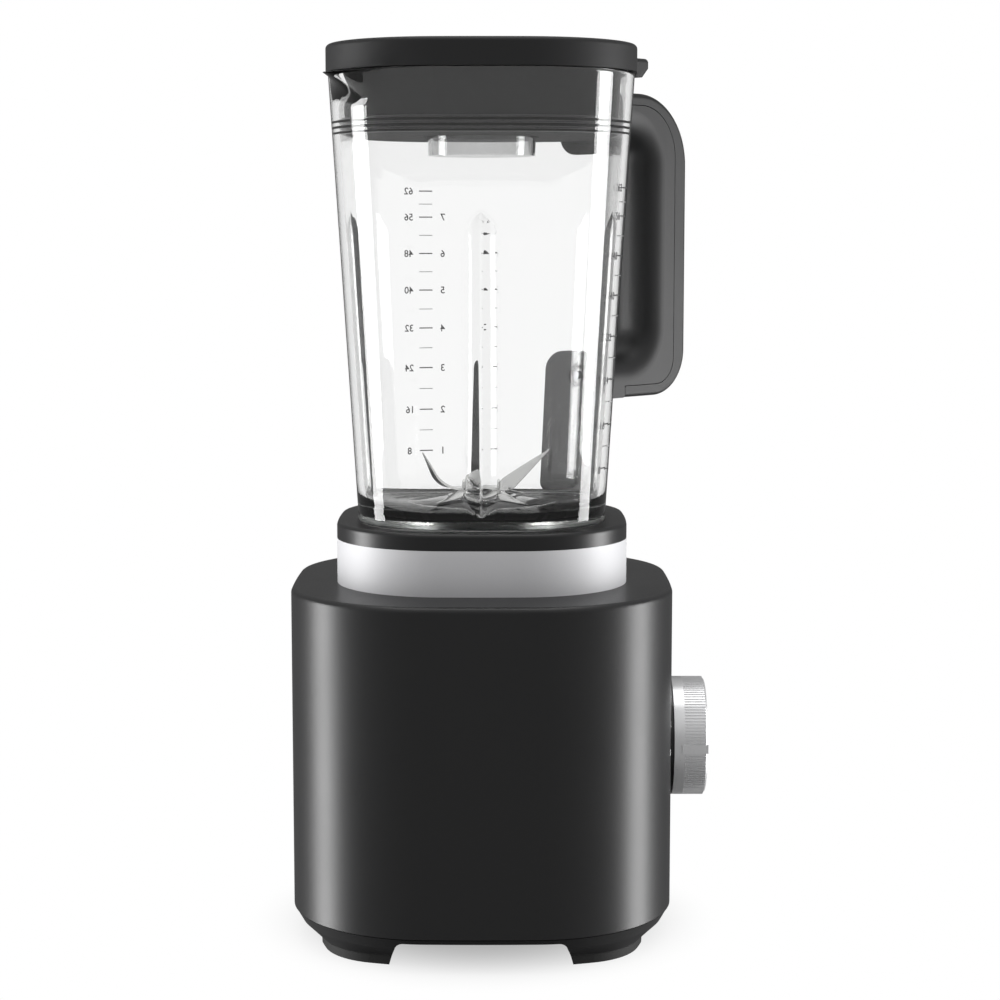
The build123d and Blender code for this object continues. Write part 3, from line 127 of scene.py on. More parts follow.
class PrintSizes(bpy.types.PropertyGroup):
    """The printed scale on two walls of the jar and the numbers round the dial."""

    digit: length("Digit height", "Height of the scale's numbers", 3.4)
    weight: length("Digit weight", "How far each stroke of a number is thickened", 0.07)
    tick: length("Tick length", "Length of the scale's ticks", 7.0)
    tick_line: length("Tick line", "Width of the whole ticks", 0.55)
    half_line: length("Half tick line", "Width of the half ticks", 0.32)
    ink: length("Ink", "Thickness of the printed ink", 0.08)
    dial_ring: length("Dial ring", "Radius of the ring of numbers round the knob", 34.5)
    dial_digit: length("Dial digit height", "Height of the numbers round the knob", 3.0)


class Colours(bpy.types.PropertyGroup):
    """Main colours, as hex values."""

    paint: colour("Base paint", "Satin paint of the motor base", "#151516")
    moulding: colour("Moulding", "Satin mouldings of lid, pad and handle", "#1b1b1c")
    silver: colour("Silver", "Silver lacquer of the collar", "#d2d2d4")
    chrome: colour("Chrome", "Satin chrome of the knob", "#e9e9ea")
    steel: colour("Steel", "Ground stainless steel of the blades", "#c9c9c8")
    ink: colour("Ink", "Printed scale on the jar", "#3c3c3d")
    dial_ink: colour("Dial ink", "Printed numbers round the knob", "#e4e4e4")


def brightness(name, description, default, **more):
    """A brightness, of which 1 is white."""
    return bpy.props.FloatProperty(name=name, description=description, default=default, min=0.0, **more)


class StageSettings(bpy.types.PropertyGroup):
    """Camera, lamps and room."""

    lens: bpy.props.FloatProperty(
        name="Lens", description="Focal length in millimetres", default=81.34, unit="CAMERA"
    )
    pitch: bpy.props.FloatProperty(
        name="Pitch", description="Camera's tilt below level", default=math.radians(6.869), subtype="ANGLE"
    )
    eye: bpy.props.FloatVectorProperty(
        name="Eye", description="Camera's place", default=(0.00838, -1.0529, 0.3274), subtype="TRANSLATION"
    )
    strips: brightness("Strip lamps", "Brightness of the two side lamps", 10.5)
    top: brightness("Top lamp", "Brightness of the lamp overhead", 1.8)
    fill: brightness("Fill", "Brightness of the room for matt surfaces", 0.55, subtype="FACTOR", max=1.0)
    room: brightness("Room", "Brightness of the room in reflections", 0.32, subtype="FACTOR", max=1.0)


GROUPS = {"jar": JarSizes, "blades": BladeSizes, "prints": PrintSizes, "colours": Colours}
GROUPS["stage"] = StageSettings


def settings(group):
    """The values of one of the groups, as the scene holds them."""
    return getattr(bpy.context.scene, "blender_" + group)


# ---- Helpers for meshes
def smooth_max(a, b, softness):
    """The larger of two arrays with the step between them rounded: half of their sum and of the root of
    (their difference squared + the softness squared)."""
    return 0.5 * (a + b + np.sqrt((a - b) ** 2 + softness**2))


def steps(*stops):
    """Values through the stops, each given as (value, spacing to the next one)."""
    parts = []
    for (start, spacing), (end, _) in zip(stops, stops[1:]):
        count = max(1, round(abs(end - start) / spacing))
        parts.append(np.linspace(start, end, count, endpoint=False))
    parts.append(np.array([stops[-1][0]]))
    return np.concatenate(parts)


def quarter(count):
    """Angles of a rounding's rows, through a quarter turn."""
    return np.linspace(0, math.pi / 2, count)


def grid_faces(rows, columns, closed_rows=False):
    """Quads of a grid of rows x columns points whose columns close on themselves, as the rows may."""
    i, j = np.meshgrid(np.arange(rows if closed_rows else rows - 1), np.arange(columns), indexing="ij")
    i, j, i1, j1 = [k.ravel() for k in (i, j, (i + 1) % rows, (j + 1) % columns)]
    quads = [i * columns + j, i * columns + j1, i1 * columns + j1, i1 * columns + j]
    return np.stack(quads, axis=1).tolist()


def turned(x, y, angle):
    """Two coordinates turned about the origin by an angle."""
    cos, sin = math.cos(angle), math.sin(angle)
    return x * cos - y * sin, x * sin + y * cos


def gather(parts):
    """Joins (points, faces) pairs into one."""
    points, faces, start = [], [], 0
    for p, f in parts:
        points.append(p)
        faces += [[i + start for i in face] for face in f]
        start += len(p)
    return np.vstack(points), faces


def moved(piece, x, y):
    """A piece's points and faces, moved in the plane of the first two coordinates."""
    points, faces = piece
    return points + [x, y, 0], faces


def new_object(name, data):
    """An object for a mesh, lamp, camera or curve, in the scene and at the origin."""
    made = bpy.data.objects.new(name, data)
    bpy.context.scene.collection.objects.link(made)
    return made


def flat_piece(name, points, faces):
    """A flat shaded object from points in metres and a list of polygons."""
    mesh = bpy.data.meshes.new(name)
    mesh.from_pydata(points.tolist(), [], faces)
    return new_object(name, mesh)


def smooth_piece(name, points, faces, sharp):
    """The same with smooth shading, where edges over an angle in degrees stay sharp."""
    piece = flat_piece(name, points, faces)
    mesh = piece.data
    mesh.validate()
    mesh.polygons.foreach_set("use_smooth", np.ones(len(mesh.polygons), bool))
    mesh.set_sharp_from_angle(angle=math.radians(sharp))
    return piece


def place(piece, body, slot, material, *nodes):
    """Lets a piece ride on a body, stand for the nodes and wear the material. Its slot is not used."""
    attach(piece, body)
    if nodes:
        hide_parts(*nodes)
    piece.data.materials.clear()
    piece.data.materials.append(material)


class Outline:
    """A square with rounded corners and bowed sides: an arc for each side and one for each corner, which
    meet without a kink. Each point knows its arc's centre and radius and its outward direction."""

    def __init__(self, half, corner, bow):
        flat = half - bow
        self.side_radius = (flat**2 + bow**2) / (2 * bow)
        self.side_centre = half - self.side_radius
        between = self.side_radius - corner
        self.corner = corner
        self.corner_centre = (self.side_centre + math.sqrt(2 * between**2 - self.side_centre**2)) / 2
        self.turn = math.atan2(self.corner_centre, self.corner_centre - self.side_centre)

    def wall(self, across, inset=0.0):
        """Distance of a side from the axis at a place across it, for an outline moved inwards by inset."""
        side = self.side_centre + np.sqrt(np.maximum((self.side_radius - inset) ** 2 - across**2, 0))
        over = np.maximum(np.abs(across) - self.corner_centre, 0)
        bend = self.corner_centre + np.sqrt(np.maximum((self.corner - inset) ** 2 - over**2, 0))
        edge = (self.side_radius - inset) * math.sin(self.turn)
        return np.where(np.abs(across) <= edge, side, bend)

    def samples(self, across, bends):
        """Centres, radii and outward directions round the outline: places across each side, then angles
        through each corner, given for each of the four corners in turn."""
        centres, radii, turns, sides = [], [], [], []
        for count in range(4):
            angle = count * math.pi / 2
            side = np.arcsin(across / self.side_radius)
            bend = self.turn + bends[count] * (math.pi / 2 - 2 * self.turn)
            spoke = np.array([math.cos(angle), math.sin(angle)])
            skew = np.array([-spoke[1], spoke[0]])
            centres += [np.tile(self.side_centre * spoke, (len(side), 1))]
            centres += [np.tile(self.corner_centre * (spoke + skew), (len(bend), 1))]
            radii += [np.full(len(side), self.side_radius), np.full(len(bend), self.corner)]
            turns += [side + angle, bend + angle]
            sides += [across, np.full(len(bend), 1.0)]
        turns = np.concatenate(turns)
        self.centres = np.concatenate(centres)
        self.radii = np.concatenate(radii)
        self.across = np.concatenate(sides)
        self.out = np.stack([np.cos(turns), np.sin(turns)], axis=1)

    def ring(self, inset, z):
        """The sampled outline moved inwards by inset (one value or one per point), at height z."""
        flat = self.centres + (self.radii - inset)[:, None] * self.out
        return np.column_stack([flat, np.broadcast_to(z, len(flat))])


# ---- Helpers for materials
def rgba(tint, share=1.0):
    """A colour, as a hex value or linear, made darker or paler by a share, with full alpha."""
    return [c * share for c in (linear(tint) if isinstance(tint, str) else tint)] + [1.0]


def add(tree, kind, inputs=None, out=0, **choices):
    """Adds a shader node and gives one of its outputs, or all of them for None: choices are its own
    settings, and inputs are values or other nodes' sockets."""
    made = tree.nodes.new("ShaderNode" + kind)
    for key, value in choices.items():
        setattr(made, key, value)
    for key, value in (inputs or {}).items():
        if isinstance(value, bpy.types.NodeSocket):
            tree.links.new(value, made.inputs[key])
        else:
            made.inputs[key].default_value = value
    return made.outputs if out is None else made.outputs[out]


def new_material(name):
    """An empty material, its node tree, its output's sockets, and Object coordinates in metres."""
    material = bpy.data.materials.new(name)
    material.use_nodes = True
    tree = material.node_tree
    tree.nodes.clear()
    output = tree.nodes.new("ShaderNodeOutputMaterial").inputs
    return material, tree, output, add(tree, "TexCoord", out="Object")


# Size of the slow changes of colour and roughness over a moulding, their share beside the fine grain, and
# how far the roughness goes either side of its own.
BROAD, BROAD_SHARE, SPREAD = 35 * MM, 0.35, 0.06


def grain_finish(name, tint, roughness, grain, depth, shade=0.12, metallic=0.0, stretch=(1, 1, 1), **extra):
    """A surface with a fine grain: noise of the grain's size drives the bump of the given depth, both in
    millimetres, and with a broad noise it varies colour, by the shade, and roughness. The stretch draws the
    grain out along an axis where it is under 1."""
    material, tree, output, coords = new_material(name)
    scaled = add(tree, "Mapping", {"Vector": coords, "Scale": stretch})
    fine = add(tree, "TexNoise", {"Vector": scaled, "Scale": 1 / (grain * MM), "Detail": 2.0})
    broad = add(tree, "TexNoise", {"Vector": coords, "Scale": 1 / BROAD, "Detail": 3.0})
    both = add(tree, "Mix", {"Factor": BROAD_SHARE, "A": fine, "B": broad})
    tones = {"Factor": both, 6: rgba(tint, 1 - shade), 7: rgba(tint, 1 + shade)}
    tone = add(tree, "Mix", tones, data_type="RGBA", out=2)
    ends = {"Value": both, "To Min": roughness - SPREAD, "To Max": roughness + SPREAD}
    gloss = add(tree, "MapRange", ends)
    bump = add(tree, "Bump", {"Strength": 1.0, "Distance": depth * MM, "Height": fine})
    sockets = {"Base Color": tone, "Roughness": gloss, "Metallic": metallic, "Normal": bump, **extra}
    tree.links.new(add(tree, "BsdfPrincipled", sockets), output["Surface"])
    return material


# The stipple at a clear piece's foot: its size, how high it reaches, and its depth there in waves. Then its
# frosted underside: clear from the first height up, frosted to the second one, and how rough.
STIPPLE, STIPPLE_TOP, STIPPLE_WAVES = 2.2 * MM, 16 * MM, 5.0
CLEAR_FROM, FROSTED_TO, FROST = 2.9 * MM, 2.65 * MM, 0.35


def clear_finish(name, ior, tint, density, wave, depth, foot=None):
    """Clear glass or plastic: full transmission, a tint that deepens with the length of the way through,
    and a slow wave of the surface as moulding leaves it, its width and depth in millimetres. Above a foot,
    a fine stipple is added to the wave, and the underside is frosted."""
    material, tree, output, coords = new_material(name)
    noise = add(tree, "TexNoise", {"Vector": coords, "Scale": 1 / (wave * MM), "Detail": 1.0})
    roughness = 0.0
    if foot is not None:
        height = add(tree, "SeparateXYZ", {"Vector": coords}, "Z")
        ends = {"Value": height, "From Min": foot + STIPPLE_TOP, "From Max": foot, "To Max": STIPPLE_WAVES}
        near = add(tree, "MapRange", ends)
        fine = add(tree, "TexNoise", {"Vector": coords, "Scale": 1 / STIPPLE, "Detail": 1.0})
        noise = add(tree, "Math", {0: fine, 1: near, 2: noise}, operation="MULTIPLY_ADD")
        ends.update({"From Min": foot + CLEAR_FROM, "From Max": foot + FROSTED_TO, "To Max": FROST})
        roughness = add(tree, "MapRange", ends)
    bump = add(tree, "Bump", {"Strength": 1.0, "Distance": depth * MM, "Height": noise})
    sockets = {"Base Color": (1, 1, 1, 1), "Roughness": roughness, "IOR": ior, "Normal": bump}
    shader = add(tree, "BsdfPrincipled", {**sockets, "Transmission Weight": 1.0})
    inside = add(tree, "VolumeAbsorption", {"Color": rgba(tint), "Density": density})
    tree.links.new(shader, output["Surface"])
    tree.links.new(inside, output["Volume"])
    return material


# Typical refractive indices, the last one lowered because a fine texture shines less than a smooth face.
LACQUER, ABS, POLYPROPYLENE, RUBBER, FINE_TEXTURE = [{"IOR": ior} for ior in (1.5, 1.53, 1.49, 1.52, 1.45)]
METAL = {"metallic": 1.0}
# How a metal's grain is drawn out: level through a stack, along the axis, round it, along a blade.
STACKED, LONG, ROUND, BLADEWISE = [
    {**METAL, "stretch": stretch} for stretch in ((0.05, 0.05, 1), (1, 1, 0.2), (0.2, 0.2, 1), (0.15, 1, 1))
]
# Metal under enamel, and metal flake in a lacquer.
ENAMELLED = {**LONG, "metallic": 0.9}
FLAKE = {"metallic": 0.3, "shade": 0.05}


def finishes():
    """Every finish, by its slot in the record or its own name. A grained one is given by its material, colour
    and roughness, its grain's size and depth in millimetres, and what else it needs."""
    c = settings("colours")
    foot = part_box("jar_body")[0].z
    rows = {
        # Die-cast shell with satin paint: a soft broad highlight and a fine spray grain.
        "base_plastic": ("satin_painted_shell", c.paint, 0.36, 0.9, 0.006, LACQUER),
        # ABS skirt, spark-eroded: darker and flatter than the paint above it.
        "skirt_plastic": ("eroded_abs_skirt", "#121213", 0.5, 0.8, 0.02, ABS),
        # Silver lacquer over ABS: metal flake under a clear coat.
        "collar_metal": ("silver_lacquered_collar", c.silver, 0.62, 0.5, 0.003, FLAKE),
        # Black mouldings inside, in ABS, nylon and glass-filled nylon: plain and half matt.
        "inner_plastic": ("moulded_black_abs", "#0d0d0e", 0.55, 0.8, 0.02, ABS),
        "switch_plastic": ("moulded_switch_body", "#101011", 0.5, 0.8, 0.02, {}),
        "fan_plastic": ("moulded_glass_filled_fan", "#1a1a1b", 0.5, 0.8, 0.03, {}),
        "nut_plastic": ("moulded_nylon_nut", "#141415", 0.45, 0.8, 0.02, {}),
        # Polypropylene seat pad: satin, with a soft edge highlight.
        "pad_plastic": ("satin_moulded_pad", "#141415", 0.34, 0.8, 0.006, POLYPROPYLENE),
        # Moulded rubber: matt and almost black.
        "sole_rubber": ("moulded_rubber_soles", "#0e0e0e", 0.75, 0.7, 0.05, RUBBER),
        "gland_rubber": ("moulded_rubber_gland", "#0c0c0c", 0.7, 0.7, 0.04, RUBBER),
        "coupling_rubber": ("moulded_rubber_coupling", "#101010", 0.7, 0.7, 0.05, {}),
        # Zinc plate: a grey, slightly cloudy shine.
        "screw_steel": ("zinc_plated_screws", "#9ea0a3", 0.35, 0.4, 0.01, METAL),
        # Punched steel sheets: dark metal with level lines from the edges of the stack.
        "lamination_steel": ("stacked_laminations", "#5d5f62", 0.45, 0.5, 0.08, STACKED),
        # Enamelled wire: red brown under varnish, with lines along the turns. Turned copper is brighter.
        "copper_wire": ("enamelled_copper_winding", "#a4572c", 0.32, 0.6, 0.12, ENAMELLED),
        "copper_bar": ("turned_copper_bars", "#b9704a", 0.3, 0.4, 0.01, ROUND),
        # Die-cast aluminium and zinc: dull grey with the skin of the mould.
        "bracket_metal": ("cast_aluminium_brackets", "#a9abac", 0.5, 0.9, 0.05, METAL),
        "coupling_metal": ("die_cast_coupling", "#a5a6a8", 0.4, 0.6, 0.02, METAL),
        # Ground and turned steel: bright, with hardly any grain.
        "bearing_steel": ("ground_bearing_steel", "#b9babd", 0.2, 0.4, 0.004, METAL),
        "shaft_steel": ("ground_steel_shafts", "#aeb0b2", 0.25, 0.4, 0.006, LONG),
        "hub_steel": ("turned_steel_hub", "#b0b1b2", 0.24, 0.4, 0.006, METAL),
        # Ground stainless steel: bright with fine lengthwise lines. Faces that face downwards get a much darker
        # steel: painted shade on the blades' undersides.
        "blade_steel": ("ground_steel_blades", c.steel, 0.22, 0.35, 0.01, BLADEWISE),
        "rolled_steel": ("rolled_steel_undersides", "#3e3f40", 0.34, 0.35, 0.01, METAL),
        # Pressed brass sheet: yellow and half bright.
        "brass": ("pressed_brass_holders", "#b58d45", 0.3, 0.6, 0.01, METAL),
        # Pressed carbon: black, dusty and matt.
        "carbon": ("pressed_carbon_brushes", "#161617", 0.6, 0.4, 0.03, {}),
        # Polished black plastic: sharp reflections in a dark face.
        "bezel_plastic": ("gloss_black_bezel", "#0f0f10", 0.14, 0.6, 0.001, LACQUER),
        # Satin chrome on the moulded knob: bright and even.
        "knob_metal": ("satin_chrome_knob", c.chrome, 0.3, 0.5, 0.004, {"metallic": 0.72, "shade": 0.04}),
        # Glass fibre laminate under its green coat: smooth over a faint weave.
        "circuit_board": ("coated_laminate_board", "#1d4a2a", 0.35, 0.9, 0.02, {}),
        # Silicone: soft grey, with a dry sheen.
        "seal_silicone": ("moulded_grey_silicone", "#8b8c8d", 0.5, 0.8, 0.02, {}),
        # Glass-filled nylon handle, spark-eroded: satin with a hint of grain, its strip a little darker.
        "handle_plastic": ("satin_moulded_handle", c.moulding, 0.5, 0.7, 0.008, FINE_TEXTURE),
        "handle_skin": ("satin_moulded_handle_strip", "#171718", 0.5, 0.7, 0.008, FINE_TEXTURE),
        # ABS lid with a fine satin texture. Its plug is smoother, and darker with little shine: painted
        # shade where it sits under the lid.
        "lid_plastic": ("satin_moulded_lid", c.moulding, 0.55, 0.7, 0.003, FINE_TEXTURE),
        "plug": ("smooth_moulded_plug", "#060606", 0.7, 0.7, 0.003, {"Specular IOR Level": 0.1}),
        # Soft black rubber against the glass: the darkest part of the lid.
        "lid_rubber": ("soft_lid_gasket", "#030303", 0.45, 0.8, 0.004, {}),
        # Printed inks: matt and even. The half ticks are paler because their ink is thin.
        "ink": ("screen_printed_ink", c.ink, 0.5, 0.5, 0.002, {}),
        "pale_ink": ("thin_screen_printed_ink", "#8d8d8e", 0.5, 0.5, 0.002, {}),
        "dial_ink": ("pad_printed_white", c.dial_ink, 0.45, 0.5, 0.002, {}),
    }
    made = {key: grain_finish(*row, **extra) for key, (*row, extra) in rows.items()}
    # Clear jar: water clear with a trace of green, a slow wave, and a stipple near its foot.
    made["jar_glass"] = clear_finish("pressed_clear_jar", 1.52, "#e8eae8", 25.0, 26.0, 0.02, foot)
    # Clear plastic with a grey tint that deepens where light goes through more of it.
    made["cap_clear"] = clear_finish("grey_tinted_cap", 1.49, "#7c7d7e", 170.0, 18.0, 0.01)
    return made


# Filled by the finishes operator, and read by the operators after it.
FINISH = {}


# ---- The stage
# The side lamps' size and the place of the right one, in metres.
STRIP_SIZE, STRIP_AT = (0.42, 1.2), (1.25, 0.07, -0.15)
# The lamp overhead, and the height on the object's axis that it faces.
TOP_SIZE, TOP_AT, TOP_AIM = (1.4, 1.4), (0, 0.1, 1.9), 0.2
# The floor: the rings and the spokes of a disc, just under the feet.
FLOOR_RINGS = np.array([0.02, *np.geomspace(0.05, 9.0, 24)])
FLOOR_SPOKES, FLOOR_Z = 96, -0.0002


class BLENDER_OT_stage(bpy.types.Operator):
    """Makes the camera, the lamps, the room and the pale floor."""

    bl_idname = "scene.blender_stage"
    bl_label = "Stage"

    def lamp(self, name, at, size, radiance, aim_height):
        """A soft rectangular lamp that faces the object's axis at a height. Its power is its brightness x
        pi x its area."""
        data = bpy.data.lights.new(name, "AREA")
        data.shape = "RECTANGLE"
        data.size, data.size_y = size
        data.energy = radiance * math.pi * size[0] * size[1]
        made = new_object(name, data)
        made.location = at
        made.rotation_euler = aim_angles(np.array([0, 0, aim_height]) - np.array(at))
        made.visible_camera = False

    def execute(self, context):
        s = settings("stage")
        scene = context.scene
        scene.view_settings.view_transform = "Standard"
        data = bpy.data.cameras.new("camera")
        data.sensor_width, data.lens, data.clip_end = 36.0, s.lens, 50.0
        camera = new_object("camera", data)
        camera.location = s.eye
        camera.rotation_euler = (math.pi / 2 - s.pitch, 0, 0)
        scene.camera = camera
        for side in (-1, 1):
            at = (side * STRIP_AT[0], *STRIP_AT[1:])
            self.lamp("strip_lamp", at, STRIP_SIZE, s.strips, STRIP_AT[2])
        self.lamp("top_lamp", TOP_AT, TOP_SIZE, s.top, TOP_AIM)
        room(s.room, s.fill)
        self.floor()
        return {"FINISHED"}

    def floor(self):
        """A level disc of rings that grow outwards, closed with triangles round its middle point."""
        turns = np.linspace(0, 2 * math.pi, FLOOR_SPOKES, endpoint=False)
        r, t = np.meshgrid(FLOOR_RINGS, turns, indexing="ij")
        points = np.stack([r * np.cos(t), r * np.sin(t), np.full(r.shape, FLOOR_Z)], axis=2).reshape(-1, 3)
        rings = [face[::-1] for face in grid_faces(len(FLOOR_RINGS), FLOOR_SPOKES)]
        middle = len(points)
        fan = [[j, (j + 1) % FLOOR_SPOKES, middle] for j in range(FLOOR_SPOKES)]
        floor = flat_piece("floor", np.vstack([points, [[0, 0, FLOOR_Z]]]), rings + fan)
        floor.data.materials.append(floor_finish())
        floor.visible_glossy = False
        floor.visible_shadow = False


def aim_angles(direction):
    """Euler angles that turn a lamp's -Z towards a direction, kept upright."""
    x, y, z = direction / np.linalg.norm(direction)
    return (math.acos(-z), 0, math.atan2(-x, y) if math.hypot(x, y) > 1e-9 else 0)


def seen_plainly(tree):
    """One for what the camera sees straight or through glass, and nought for the rest."""
    path = add(tree, "LightPath", out=None)
    rays = {0: path["Is Camera Ray"], 1: path["Is Transmission Ray"]}
    return add(tree, "Math", rays, operation="MAXIMUM")


# The room's brightness by direction. Each row: axis, where the change starts and ends on it from -1 to 1,
# and the shares of the brightness there. It is brighter in front than behind, brighter again towards the
# ceiling, and darker towards the ground.
ROOM_SHADES = (
    ("Y", 0.9, -0.6, 0.5, 1.0),
    ("Z", 0.12, 0.75, 1.0, 2.6),
    ("Z", -0.4, -0.9, 1.0, 0.2),
)


def room(gloss, fill):
    """A room that is white where it is seen plainly, and dimmer in reflections and as fill. In reflections
    its brightness is the product of the shares of its shades."""
    world = bpy.data.worlds.new("room")
    bpy.context.scene.world = world
    world.use_nodes = True
    tree = world.node_tree
    tree.nodes.clear()
    way = add(tree, "SeparateXYZ", {"Vector": add(tree, "TexCoord", out="Generated")}, None)
    shaded = gloss
    for axis, start, end, low, high in ROOM_SHADES:
        ends = {"Value": way[axis], "From Min": start, "From Max": end, "To Min": low, "To Max": high}
        share = add(tree, "MapRange", ends)
        shaded = add(tree, "Math", {0: shaded, 1: share}, operation="MULTIPLY")
    reflected = add(tree, "LightPath", out="Is Glossy Ray")
    dim = add(tree, "Mix", {"Factor": reflected, "A": fill, "B": shaded})
    level = add(tree, "Mix", {"Factor": seen_plainly(tree), "A": dim, "B": 1.0})
    light = add(tree, "Background", {"Color": (1, 1, 1, 1), "Strength": level})
    tree.links.new(light, tree.nodes.new("ShaderNodeOutputWorld").inputs["Surface"])


# The floor's board: shaded up to the first distance from the axis, plain white from the second one on, and
# the share of white up to the first. Then its paper grain, and its two tones, as linear grey.
SHADED_TO, WHITE_FROM, WHITE_NEAR = 0.04, 0.115, 0.42
PAPER_GRAIN, PAPER_TONES = 2.5 * MM, (0.84, 0.88)


def floor_finish():
    """Pale matt board: it keeps the shadow near the object and turns to plain white further out."""
    material, tree, output, coords = new_material("pale_matt_board")
    far = add(tree, "VectorMath", {0: coords}, "Value", operation="LENGTH")
    ends = {"Value": far, "From Min": SHADED_TO, "From Max": WHITE_FROM}
    away = add(tree, "MapRange", ends, interpolation_type="SMOOTHSTEP")
    share = add(tree, "MapRange", {"Value": away, "To Min": WHITE_NEAR, "To Max": 1.0})
    blend = add(tree, "Math", {0: share, 1: seen_plainly(tree)}, operation="MULTIPLY")
    grain = add(tree, "TexNoise", {"Vector": coords, "Scale": 1 / PAPER_GRAIN})
    low, high = [(tone, tone, tone, 1) for tone in PAPER_TONES]
    tone = add(tree, "Mix", {"Factor": grain, 6: low, 7: high}, data_type="RGBA", out=2)
    board = add(tree, "BsdfDiffuse", {"Color": tone})
    white = add(tree, "Emission", {"Color": (1, 1, 1, 1), "Strength": 1.0})
    tree.links.new(add(tree, "MixShader", {0: blend, 1: board, 2: white}), output["Surface"])
    return material


# ---- The jar
def jar_outline():
    """The jar's foot outline, its foot and rim heights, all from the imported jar's box and the jar's sizes."""
    s = settings("jar")
    low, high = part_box("jar_body")
    return Outline(high.x - s.flare, s.corner, s.bow), low.z, high.z


def lean(z, foot, rim):
    """How far the wall leans out at a height, as an inset under nought: the flare x the way up from foot to
    rim, from 0 to 1."""
    return -settings("jar").flare * (z - foot) / (rim - foot)


# The pouring lip: the powers with which it grows upwards and falls off sideways, and its rounding.
LIP_UP, LIP_ACROSS, LIP_SOFT = 1.6, 1.5, 0.25


def lip_growth(ring, level):
    """How far a point moves out along the corner's diagonal to lie on the lip: its reach x the level to its
    upward power x (1 - way) to its sideways power. The way goes from 0 on the diagonal to 1 at the lip's half
    width and is rounded at 0."""
    s = settings("jar")
    across = (ring[:, 0] - ring[:, 1]) / math.sqrt(2) / s.spout_width
    way = (np.sqrt(across**2 + LIP_SOFT**2) - LIP_SOFT) / (math.sqrt(1 + LIP_SOFT**2) - LIP_SOFT)
    near = ring[:, 0] + ring[:, 1] < 0
    return s.spout_reach * level**LIP_UP * np.clip(1 - way, 0, 1) ** LIP_ACROSS * near


# Places across half a side, in millimetres from its middle: close together over the rib and its foot.
ACROSS_SIDE = np.array([0, 0.35, *np.arange(0.8, 7.3, 0.55), 7.5, 7.9, 8.6, 10, 14]) * MM
# Places through a corner, as shares of its turn: a plain one, the one with the lip, the one with the bosses.
PLAIN_CORNER = np.linspace(0, 1, 25)[1:-1]
LIP_CORNER = steps((0, 0.03), (0.38, 0.012), (0.62, 0.03), (1, 1))[1:-1]
BOSS_CORNER = steps((0, 0.04), (0.4, 0.0095), (0.6, 0.04), (1, 1))[1:-1]
# Roundings of the jar's foot and rim, then of the ribs' ridges, of their feet on the wall, of their ends in
# the floor, and of the floor's rise.
FOOT_ROUND, RIM_ROUND = 1.5 * MM, 0.8 * MM
RIDGE_ROUND, RIB_FOOT_ROUND, RIB_END_ROUND, DOME_ROUND = 0.3 * MM, 0.15 * MM, 0.2 * MM, 0.3 * MM
# The screws' heads reach this far past the middle of their bosses, and a boss's edge is this wide.
SCREW_HEAD, BOSS_EDGE = 3.8 * MM, 0.5 * MM
# How far the fine rows reach either side of a boss, and the heights from one row to the next.
BOSS_ROWS = 6.2 * MM
FINE, MIDDLING, COARSE = 0.55 * MM, 1.0 * MM, 4 * MM


